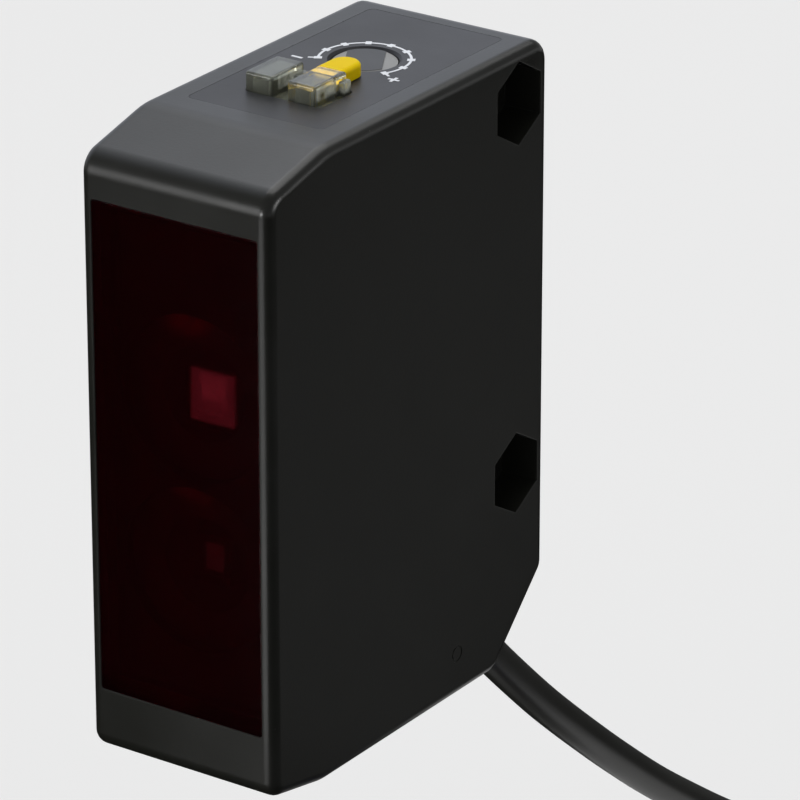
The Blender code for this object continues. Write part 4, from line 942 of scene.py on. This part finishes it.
dialShape = {"y": 23.75, "radius": 2.48, "wellRadius": 2.58, "wellDepth": 1.6, "rimSink": 0.14,
             "barSink": 0.05, "barWidth": 2.88, "barStep": 0.1, "segmentDepth": 0.1, "chamfer": 0.12,
             "pointer": 120.0, "shaftRadius": 0.9, "shaftFit": 0.08, "shaftLength": 4.5, "bossRadius": 3.6,
             "bossFloor": 1.8, "softEdge": 0.05, "grey": (0.26, 0.26, 0.255)}

indicatorShape = {"lowY": 13.43, "highY": 17.52, "rise": 1.45, "left": (-3.4, -0.95), "right": (0.35, 2.85),
                  "bridgeLength": 1.62, "bridgeRise": 0.9, "lugWidth": 0.45, "lugLength": 1.12,
                  "lugRise": 1.0, "flange": 0.9, "flangeMargin": 0.6, "plateauMargin": 0.04, "edge": 0.2,
                  "roof": 0.5, "hollowWall": 0.5, "sink": 0.3}

yellowShape = {"x": (-0.3, 2.1), "rearY": 21.1, "rise": 1.17, "edge": 0.38, "tongueLength": 0.9,
               "tongueRise": 0.8, "stemSide": 1.0, "stemInset": 0.92, "frontCorner": 0.36}

filmShape = {"sideMargin": 2.4, "front": 9.8, "rearMargin": 2.6, "thickness": 0.25, "corner": 0.5,
             "fit": 0.015, "edge": 0.03, "flare": 0.01, "wellFlare": 0.2}


def windowOutline(margin):
    shape = windowShape
    return rectangle((-shape["side"], shape["low"]), (shape["side"], shape["high"]), shape["corner"], margin)


def filmOutline(margin):
    side = halfWidth - filmShape["sideMargin"]
    rear = bodyDepth - filmShape["rearMargin"]
    return rectangle((-side, filmShape["front"]), (side, rear), filmShape["corner"], margin)


def indicatorOutline(margin):
    shape = indicatorShape
    low = (shape["left"][0], shape["lowY"])
    high = (shape["right"][1] + shape["lugWidth"], shape["highY"])
    return rectangle(low, high, 0.4, margin)


def holeOutline(height):
    return lambda margin: circle((holeY, height), holeShape["radius"] + margin, 64)


def nutOutline(height):
    def outline(margin):
        corner = (holeShape["flats"] / 2 + margin) / math.cos(math.pi / 6)
        turns = [math.radians(90 + 60 * side) for side in range(6)]
        centre = height - holeShape["nutDrop"]
        return [(holeY + corner * math.cos(turn), centre + corner * math.sin(turn)) for turn in turns]

    return outline


def makeBody(shape):
    edge = shape["sideEdge"]
    side = [(bodyOutline(shape, -edge * (1 - math.cos(turn))), halfWidth - edge * (1 - math.sin(turn)))
            for turn in quarter(6)]
    return loft("case_shell", [(outline, -level) for outline, level in side[::-1]] + side, "X")


def drill(name, centre, radius, low, high, axis, sides=64):
    return prism(name, circle(centre, radius, sides), low, high, axis)


def makeCavity(shape):
    cavity = prism("cavity", cavityOutline(shape), -halfWidth - 1, innerRight, "X")
    bosses = []
    holeRadius = holeShape["radius"] + holeShape["bossWall"]
    nutLeft = halfWidth - holeShape["depth"] - holeShape["nutFloor"]
    nutRadius = holeShape["flats"] / math.sqrt(3) + holeShape["nutWall"]
    for height in holeShape["heights"]:
        for radius, left in ((holeRadius, innerLeft + fit), (nutRadius, nutLeft)):
            bosses.append(drill("hole boss", (holeY, height), radius, left, innerRight + 1, "X"))
    bottom = bodyHeight - dialShape["wellDepth"] - dialShape["bossFloor"]
    bosses.append(drill("dial boss", (0, dialShape["y"]), dialShape["bossRadius"], bottom, bodyHeight, "Z"))
    return combine(cavity, bosses)


def flaredCutter(name, outline, mouth, depth, axis, flare, way=1):
    # A cutter with a small chamfer round its mouth. mouth is the surface's level, and way points out of it.
    return loft(name, [
        (outline(flare + 1.0), mouth + way), (outline(flare), mouth), (outline(0), mouth - way * flare),
        (outline(0), mouth - way * depth),
    ], axis)


def makeCase(shape):
    body, top = makeBody(shape), bodyHeight
    window, film, dial = windowShape, filmShape, dialShape
    well, shaftHole = (0, dial["y"]), dial["shaftRadius"] + dial["shaftFit"]
    recess = lambda margin: windowOutline(window["fit"] + margin)
    recessDepth = window["sink"] + window["thickness"] + fit
    filmRecess = lambda margin: filmOutline(film["fit"] + margin)
    cutters = [
        makeCavity(shape),
        flaredCutter("window recess", recess, 0, recessDepth, "Y", window["flare"], -1),
        prism("window sight", windowOutline(-window["ledge"]), 0.5, shape["frontWall"] + 1, "Y"),
        flaredCutter("film recess", filmRecess, top, film["thickness"] + fit, "Z", film["flare"]),
        prism("indicator slot", indicatorOutline(fit), top - 3, top + 1),
        drill("dial well", well, dial["wellRadius"], top - dial["wellDepth"], top + 1, "Z", 96),
        drill("shaft hole", well, shaftHole, top - 5, top, "Z"),
    ]
    hole = holeShape
    for height in hole["heights"]:
        cutters += [
            flaredCutter("hole", holeOutline(height), -halfWidth, bodyWidth + 1, "X", hole["flare"], -1),
            flaredCutter("nut pocket", nutOutline(height), halfWidth, hole["depth"], "X", hole["nutFlare"]),
        ]
    mark = shape["mark"]
    inner, outer = mark["radius"] - mark["stroke"] / 2, mark["radius"] + mark["stroke"] / 2
    ring = [(inner, 1.0), (outer, 1.0), (outer, -mark["depth"]), (inner, -mark["depth"])]
    cutters.append(place(turned("mould mark", ring, 48), (halfWidth, *mark["spot"]), 90, "Y"))
    radius, depth = shape["bushHole"]
    bushHole = turned("bush hole", [(0, 2), (radius, 2), (radius, -depth), (0, -depth)], 64)
    cutters.append(place(bushHole, exitSpot, -135, "X"))
    return keep(settle(combine(body, cutters)), "case", ("case",))


makeCase(caseShape)
print("case made")


def makeCover(shape):
    edge, whole = shape["coverEdge"], cavityOutline(shape, fit)
    cover = loft("side_cover_plate", [
        (cavityOutline(shape, fit + edge), -halfWidth), (whole, -halfWidth + edge), (whole, innerLeft),
    ], "X")
    combine(cover, [
        flaredCutter("cover hole", holeOutline(height), -halfWidth, 3, "X", holeShape["flare"], -1)
        for height in holeShape["heights"]
    ])
    return keep(settle(cover), "case", ("side_cover",))


makeCover(caseShape)


def makeWindow(shape):
    edge, front = shape["edge"], shape["sink"]
    rear = front + shape["thickness"]
    window = loft("front_window_pane", [
        (windowOutline(-edge), front), (windowOutline(-edge * 0.3), front + edge * 0.3),
        (windowOutline(0), front + edge), (windowOutline(0), rear - edge), (windowOutline(-edge), rear),
    ], "Y")
    return keep(settle(window, 50), "window", ("front_window",))


makeWindow(windowShape)
print("side cover and window made")


# Optics behind the window

lensShape = {"radius": 6.4, "edge": 0.7, "crown": 0.8, "front": 2.72, "steps": 20,
             "heights": {"emitter_lens": 30.3, "receiver_lens": 16.7}}


def makeLens(name, shape):
    crown, across = shape["crown"], shape["radius"]
    ball = (across**2 + crown**2) / (2 * crown)
    profile = []
    for step in range(shape["steps"] + 1):
        radius = across * step / shape["steps"]
        profile.append((radius, crown - ball + math.sqrt(ball**2 - radius**2)))
    profile += [(across, -shape["edge"]), (0, -shape["edge"])]
    lens = turned(name + "_disc", profile, 128)
    place(lens, (0, shape["front"] + crown, shape["heights"][name]), 90, "X")
    return keep(settle(lens, 40), "lens", (name,))


for name in lensShape["heights"]:
    makeLens(name, lensShape)

litPieces = {  # name, colour, roughness, strength, and the glows: box, share and soft edge; those of the emitter block and the receiver chip are painted light
    "emitter_block": ("emitter block lit", (0.02, 0.02, 0.02), 0.4, 0.7, [
        (((-1.6, 4.8, 27.9), (2.05, 5.2, 31.8)), 0.5, 0.08),
        (((-1.3, 5.2, 28.3), (1.3, 9, 30.9)), 0.5, 0.08),
        (((-0.85, 4.8, 29.0), (1.4, 9, 31.5)), 0.45, 0.2),
    ]),
    "emitter_led": ("emitter source lit", (0.2, 0.18, 0.16), 0.3, 0.7, [
        (((-2, 3, 27), (2, 9, 32)), 0.55, 0.08), (((-2, 3, 29.4), (2, 9, 32)), 0.45, 0.3),
    ]),
    "receiver_diode": ("receiver chip", (0.1, 0.1, 0.11), 0.2, 0.09, [
        (((-2, 3, 14), (2, 12, 20)), 1.0, 0.08),
    ]),
}


# Top film, its print and the dial

def makeFilm(shape):
    low, top = bodyHeight - shape["thickness"], bodyHeight
    film = loft("top_film_sheet", cushioned(filmOutline, low, top, shape["edge"], steps=2))
    well = lambda margin: circle((0, dialShape["y"]), dialShape["wellRadius"] + margin)
    combine(film, [
        prism("film slot", indicatorOutline(fit), top - 1, top + 1),
        flaredCutter("film well", well, top, 1, "Z", shape["wellFlare"]),
    ])
    return keep(settle(film), "film", ("top_film",))


makeFilm(filmShape)


def paintDial(shape):  # the bar's top is printed dark, the rest is the pale grey of the moulding
    tree = finishes["dial"].node_tree
    base = tree.nodes["Principled BSDF"].inputs["Base Color"]
    dark = base.links[0].from_socket
    spots = tree.nodes.new("ShaderNodeTexCoord").outputs["Object"]
    height = addNode(tree, "ShaderNodeSeparateXYZ", {0: spots}).outputs["Z"]
    top = inFrame((0, 0, bodyHeight - shape["barSink"])).z
    below = ranged(tree, height, top - 0.02 * mm, top - 0.06 * mm)
    tree.links.new(blended(tree, below, dark, (*shape["grey"], 1)), base)


def makeDial(shape):
    top, rim = bodyHeight - shape["barSink"], bodyHeight - shape["rimSink"]
    bottom, end = bodyHeight - shape["wellDepth"] + fit, bodyHeight - shape["shaftLength"]
    radius, shaft = shape["radius"], shape["shaftRadius"]
    dial = turned("adjuster_dial_disc", [
        (0, top), (radius - shape["chamfer"], top), (radius, rim), (radius, bottom), (shaft, bottom),
        (shaft, end), (0, end),
    ])
    half, reach = shape["barWidth"] / 2, radius + 1
    step = top - shape["barStep"]
    slope = shape["segmentDepth"] / (radius - half)
    for way in (1, -1):
        edge = [(way * half, top + 1), (way * half, step), (way * reach, step - slope * (reach - half)),
                (way * reach, top + 1)]
        combine(dial, [prism("dial segment", edge, -reach, reach, "X")])
    soften(dial, shape["softEdge"], 25)
    place(dial, (0, shape["y"], 0), shape["pointer"])
    return keep(settle(dial), "dial", ("adjuster_dial",), body="dial")


paintDial(dialShape)
makeDial(dialShape)
print("film and dial made")


def makeTickTree():  # short marks set round a circle
    tree, given, result = makeTree("dial ticks", [
        ("Count", "Int", 9), ("Start", "Float", 0.0), ("Step", "Float", 0.5), ("Radius", "Float", 3.5),
        ("Length", "Float", 0.6), ("Width", "Float", 0.4), ("Thickness", "Float", 0.02),
    ])
    size = firstOut(
        tree, "ShaderNodeCombineXYZ", {"X": given["Length"], "Y": given["Width"], "Z": given["Thickness"]}
    )
    mark = firstOut(tree, "GeometryNodeMeshCube", {"Size": size})
    spot = firstOut(tree, "ShaderNodeCombineXYZ", {"X": given["Radius"]})
    moved = firstOut(tree, "GeometryNodeTransform", {"Geometry": mark, "Translation": spot})
    points = firstOut(tree, "GeometryNodeMeshLine", {"Count": given["Count"], "Offset": (0, 0, 0)})
    number = firstOut(tree, "GeometryNodeInputIndex", {})
    turn = sums(tree, "MULTIPLY_ADD", number, given["Step"], given["Start"])
    spin = firstOut(tree, "ShaderNodeCombineXYZ", {"Z": turn})
    links = {"Points": points, "Instance": moved, "Rotation": spin}
    return endTree(tree, firstOut(tree, "GeometryNodeInstanceOnPoints", links), given, result)


printShape = {
    "thickness": 0.02,
    "sink": 0.004,
    "ringRadius": 3.45,
    "ringWidth": 0.2,
    "tickCount": 9,
    "tickStart": -30.0,
    "tickStep": 30.0,
    "tickLength": 0.6,
    "tickWidth": 0.46,
    "leadLength": 0.75,  # the lines that run out from the ring's two ends
    "signRadius": 5.0,
    "signSize": 0.95,
    "signStroke": 0.24,
}


def flatPiece(name, outline):  # a print shape lying on the film
    return prism(name, outline, bodyHeight - printShape["sink"], bodyHeight + printShape["thickness"])


def ringBand(radius, width, start, end, steps=72):
    turns = [math.radians(start + (end - start) * step / steps) for step in range(steps + 1)]
    outer = [(radius + width / 2, turn) for turn in turns]
    inner = [(radius - width / 2, turn) for turn in reversed(turns)]
    return [(r * math.cos(t), dialShape["y"] + r * math.sin(t)) for r, t in outer + inner]


def bar(start, end, width):
    a, b = Vector(start), Vector(end)
    side = Vector((-(b - a).y, (b - a).x)).normalized() * width / 2
    return [tuple(a + side), tuple(b + side), tuple(b - side), tuple(a - side)]


def makePrint(shape):
    ticks = newObject("dial_ticks", bpy.data.meshes.new("dial_ticks"))
    runTree(ticks, makeTickTree(), {
        "Count": shape["tickCount"], "Start": math.radians(shape["tickStart"]),
        "Step": math.radians(shape["tickStep"]), "Radius": shape["ringRadius"],
        "Length": shape["tickLength"], "Width": shape["tickWidth"], "Thickness": shape["thickness"],
    })
    place(ticks, (0, dialShape["y"], bodyHeight + shape["thickness"] / 2))
    first, last = shape["tickStart"], shape["tickStart"] + shape["tickStep"] * (shape["tickCount"] - 1)
    lines = [flatPiece("ring line", ringBand(shape["ringRadius"], shape["ringWidth"], first, last))]
    centre = Vector((0, dialShape["y"]))
    for name, degrees in (("plus", first), ("minus", last)):
        way = Vector((math.cos(math.radians(degrees)), math.sin(math.radians(degrees))))
        start, end = (centre + way * (shape["ringRadius"] + reach) for reach in (0, shape["leadLength"]))
        lines.append(flatPiece("lead line", bar(start, end, shape["ringWidth"])))
        spot, half = centre + way * shape["signRadius"], shape["signSize"] / 2
        for stroke in ((half, 0), (0, half))[: 2 if name == "plus" else 1]:
            ends = spot - Vector(stroke), spot + Vector(stroke)
            lines.append(flatPiece(name, bar(*ends, shape["signStroke"])))
    return combine(ticks, lines, "UNION")


keep(settle(makePrint(printShape)), "film", finish="print")
print("print made")


# Indicator and its yellow light guide

def stemCorners(margin):  # the square foot of the light guide
    half = yellowShape["stemSide"] / 2 + margin
    middle, y = sum(yellowShape["x"]) / 2, indicatorShape["highY"] - yellowShape["stemInset"]
    return (middle - half, y - half), (middle + half, y + half)


def makeIndicator(shape):
    flangeTop = bodyHeight - caseShape["wall"] - fit
    plateauTop = bodyHeight - fit
    (leftLow, leftHigh), (rightLow, rightHigh) = shape["left"], shape["right"]
    lowY, highY, sink = shape["lowY"], shape["highY"], shape["sink"]
    flange = indicatorOutline(shape["flangeMargin"])
    lens = prism("indicator_moulding", flange, flangeTop - shape["flange"], flangeTop)
    parts = [prism("plateau", indicatorOutline(shape["plateauMargin"]), flangeTop - sink, plateauTop)]
    blocks = {  # two opposite corners, rise, and rounding of the top and the upright edges
        "left block": ((leftLow, lowY), (leftHigh, highY), shape["rise"], shape["edge"], 0.25),
        "right block": ((rightLow, lowY), (rightHigh, highY), shape["rise"], shape["edge"], 0.25),
        "bridge": ((leftHigh - sink, highY - shape["bridgeLength"]), (rightLow + sink, highY - 0.1),
                   shape["bridgeRise"], 0.2, 0.25),
        "lug": ((rightHigh - sink, highY - shape["lugLength"]), (rightHigh + shape["lugWidth"], highY - 0.1),
                shape["lugRise"], 0.15, 0.2),
    }
    for name, (low, high, rise, edge, corner) in blocks.items():
        parts.append(block(name, low, high, plateauTop - sink, bodyHeight + rise, edge, corner))
    combine(lens, parts, "UNION")
    yellow, wall, roof = yellowShape, shape["hollowWall"], bodyHeight + shape["rise"] - shape["roof"]
    roomFront = highY - yellow["tongueLength"] - fit
    room = rectangle((yellow["x"][0] - fit, roomFront), (yellow["x"][1] + fit, highY + 1), 0.1)
    wells = [  # for light in the blocks, open below
        rectangle((leftLow + wall, lowY + wall), (leftHigh - wall, highY - wall), 0.15),
        rectangle((rightLow + wall, lowY + wall), (rightHigh - wall, roomFront - wall / 2), 0.15),
    ]
    combine(lens, [
        prism("yellow room", room, plateauTop, roof),
        prism("stem hole", rectangle(*stemCorners(fit), 0.1), flangeTop - 2, plateauTop + 0.3),
        *(prism("light well", well, flangeTop - 2, roof) for well in wells),
    ])
    return keep(settle(lens), "smoke", ("indicator_lens",))


makeIndicator(indicatorShape)


def makeYellow(shape):
    left, right = shape["x"]
    radius = (right - left) / 2 * 0.995
    foot, top = bodyHeight + fit / 2, bodyHeight + shape["rise"]
    front = indicatorShape["highY"] + fit

    def outline(margin):
        low, high, rear = left - margin, right + margin, shape["rearY"] + margin
        small, large = shape["frontCorner"] + margin, radius + margin
        near = front - margin
        corners = [(low, near, small), (low, rear, large), (high, rear, large), (high, near, small)]
        return rounded(corners, 6.0)

    head = loft("yellow_guide", cushioned(outline, foot, top, shape["edge"], 0.05, 6))
    tongueFront = indicatorShape["highY"] - shape["tongueLength"]
    tongue = block("tongue", (left + 0.01, tongueFront), (right - 0.01, front + 1.2), foot + 0.01,
                   bodyHeight + shape["tongueRise"], 0.15, 0.2)
    stemFoot = (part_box("yellow_lens")[0][2] - datum.z) / mm
    combine(head, [tongue, block("stem", *stemCorners(0.0), stemFoot, foot + 0.3, 0.05, 0.1)], "UNION")
    return keep(settle(head), "yellow", ("yellow_lens",))


makeYellow(yellowShape)
print("indicator and light guide made")


# Cable bush

bushShape = {"bore": 1.62, "radius": 2.4, "proud": 0.25, "inside": -1.52, "flangeRadius": 3.3, "flange": 1.2,
             "round": 0.18}


def makeBush(shape):
    lip, rounding, bore, radius = shape["proud"], shape["round"], shape["bore"], shape["radius"]
    inside, flangeEnd = shape["inside"], shape["inside"] - shape["flange"]
    flangeRadius = shape["flangeRadius"]
    profile = [(bore + rounding, lip)]
    for turn in quarter(4):
        profile.append((radius - rounding * (1 - math.sin(turn)), lip - rounding * (1 - math.cos(turn))))
    profile += [
        (radius, inside), (flangeRadius, inside), (flangeRadius, flangeEnd), (bore, flangeEnd),
        (bore, lip - rounding),
    ]
    bush = turned("cable_bush_ring", profile, 72)
    return keep(settle(place(bush, exitSpot, -135, "X")), "rubber", ("cable_bush",))


makeBush(bushShape)
print("bush made")


# Finishes of the inner pieces, which keep their shape from the frame

litFinishes = {name: litFinish(*look) for name, look in litPieces.items()}
for part in frame["record"]["subparts"]:
    node = frame["nodes"][part["node"]]
    finish = litFinishes.get(part["node"], finishes.get(part["material_slot"]))
    if finish:
        dress(node, finish)
print("inner pieces finished")


# Floor, light and world

studio = {
    "floorSize": 6.0,
    "floorColour": (0.8, 0.8, 0.8, 1),
    "floorGlow": 0.7,  # how much of what is seen of the floor is plain background
    "backgroundColour": (0.838, 0.838, 0.836, 1),
    "worldColour": (0.97, 0.98, 1.0, 1),
    "worldStrength": 0.5,
    "paintedBrightSky": (0.85, 0.9, 1.01, 1),  # painted reflection: the sky that reflections find to the left of the sensor and behind it
    "paintedDimSky": (0.24, 0.245, 0.25, 1),  # and the dim painted sky everywhere else
    "leftFade": (-0.24, -0.48),  # where the bright sky sets in, as shares of a way's X
    "rearFade": (-0.35, -0.02),  # and of its Y
    # colour of the dark card, which paints dark reflections
    "darkReflectionColour": (0.004, 0.004, 0.004, 1),
    "cards": {  # painted reflections: glow, and corners in millimetres at the datum, the third of them above the floor
        "dark floor card": (0, ((-700, -700, 1.5), (700, -700, 1.5), (700, 750, 1.5), (-700, 750, 1.5))),
        "glint card": (40, ((-95, -600, 55), (15, -600, 55), (15, -600, 135), (-95, -600, 135))),
        "front strip": (2.5, ((-38, -85, 3), (29, -85, 3), (58, -210, 3), (-107, -210, 3))),
        "cable strip": (0.75, ((-12, 40, 3), (22, 40, 3), (22, 88, 3), (-12, 88, 3))),
        "side card": (0.18, ((45, 70, 3), (90, 70, 3), (180, 260, 3), (90, 260, 3))),
        "right strip": (0.9, ((350, 800, 125), (750, 480, 125), (750, 480, 225), (350, 800, 225))),
        "corner strip": (12, ((750, 480, 125), (950, 60, 125), (950, 60, 235), (750, 480, 225))),
    },
    "lamps": (  # place from the body's middle and size in metres, watts, and whether reflections show it
        ("top softbox", (-0.06, 0.26, 0.6), (0.6, 0.6), 2.7, True),
        ("front left softbox", (-0.5, -0.8, 0.1), (0.4, 0.35), 1.35, True),
        ("left fill", (-0.6, -0.75, 0.02), (0.3, 0.3), 5.8, False),
    ),
}


def paleWhere(tree, real, seen, share):
    # Mixes a plain glow into what camera, glossy and transmission rays meet.
    path = tree.nodes.new("ShaderNodeLightPath").outputs
    either = sums(tree, "MAXIMUM", path["Is Camera Ray"], path["Is Glossy Ray"])
    either = sums(tree, "MAXIMUM", either, path["Is Transmission Ray"])
    factor = sums(tree, "MULTIPLY", either, share)
    return firstOut(tree, "ShaderNodeMixShader", {0: factor, 1: real, 2: seen})


def makeFloor(shape):
    build = bmesh.new()
    bmesh.ops.create_grid(build, x_segments=1, y_segments=1, size=shape["floorSize"] / 2)
    bmesh.ops.translate(build, verts=build.verts, vec=(datum.x, 0, floorHeight))
    floor = meshObject("floor", build)
    material = bpy.data.materials.new("floor paper")
    tree = emptyTree(material)
    paper = firstOut(tree, "ShaderNodeBsdfDiffuse", {"Color": shape["floorColour"]})
    glow = firstOut(tree, "ShaderNodeEmission", {"Color": shape["backgroundColour"]})
    addNode(tree, "ShaderNodeOutputMaterial", {"Surface": paleWhere(tree, paper, glow, shape["floorGlow"])})
    floor.data.materials.append(material)


def makeCards(shape):
    # Painted reflections, which only glossy rays see. A dark one on the floor paints a dark reflection in
    # place of the pale floor, which keeps the faces as dark as their plastic, and bright ones paint the light
    # lines and glints on the rounded edges and along the cable.
    floorLevel = (floorHeight - datum.z) / mm
    for name, (glow, corners) in shape["cards"].items():
        material = bpy.data.materials.new(name)
        tree = emptyTree(material)
        if glow:
            face = firstOut(tree, "ShaderNodeEmission", {"Strength": glow})
        else:
            face = firstOut(tree, "ShaderNodeBsdfDiffuse", {"Color": shape["darkReflectionColour"]})
        addNode(tree, "ShaderNodeOutputMaterial", {"Surface": face})
        build = bmesh.new()
        build.faces.new([build.verts.new(inFrame((x, y, floorLevel + rise))) for x, y, rise in corners])
        card = meshObject(name, build)
        card.data.materials.append(material)
        for seenBy in ("camera", "diffuse", "transmission", "shadow"):
            setattr(card, f"visible_{seenBy}", False)


def makeWorld(shape):
    world = bpy.data.worlds.new("studio")
    bpy.context.scene.world = world
    tree = emptyTree(world)
    links = {"Color": shape["worldColour"], "Strength": shape["worldStrength"]}
    light = firstOut(tree, "ShaderNodeBackground", links)
    # camera, glossy and transmission rays see a painted sky, bright to the left and behind and dim elsewhere,
    # while the even world lights the object
    generated = tree.nodes.new("ShaderNodeTexCoord").outputs["Generated"]
    way = addNode(tree, "ShaderNodeSeparateXYZ", {0: generated}).outputs
    toLeft = ranged(tree, way["X"], *shape["leftFade"])
    toRear = ranged(tree, way["Y"], *shape["rearFade"])
    paintedSky = blended(tree, sums(tree, "MULTIPLY", toLeft, toRear), shape["paintedDimSky"], shape["paintedBrightSky"])
    seen = firstOut(tree, "ShaderNodeBackground", {"Color": paintedSky})
    addNode(tree, "ShaderNodeOutputWorld", {"Surface": paleWhere(tree, light, seen, 1.0)})


def addLamp(name, offset, size, watts, inReflections):
    data = bpy.data.lights.new(name, "AREA")
    data.shape = "RECTANGLE"
    data.size, data.size_y = size
    data.energy = watts
    lamp = newObject(name, data)
    lamp.visible_glossy = inReflections
    target = (caseLow + caseHigh) / 2
    spot = target + Vector(offset)
    turn = (target - spot).to_track_quat("-Z", "Y").to_matrix().to_4x4()
    lamp.matrix_world = Matrix.Translation(spot) @ turn


makeFloor(studio)
makeCards(studio)
makeWorld(studio)
for lamp in studio["lamps"]:
    addLamp(*lamp)
bpy.context.scene.view_settings.view_transform = "Standard"
print("stage and lights made")
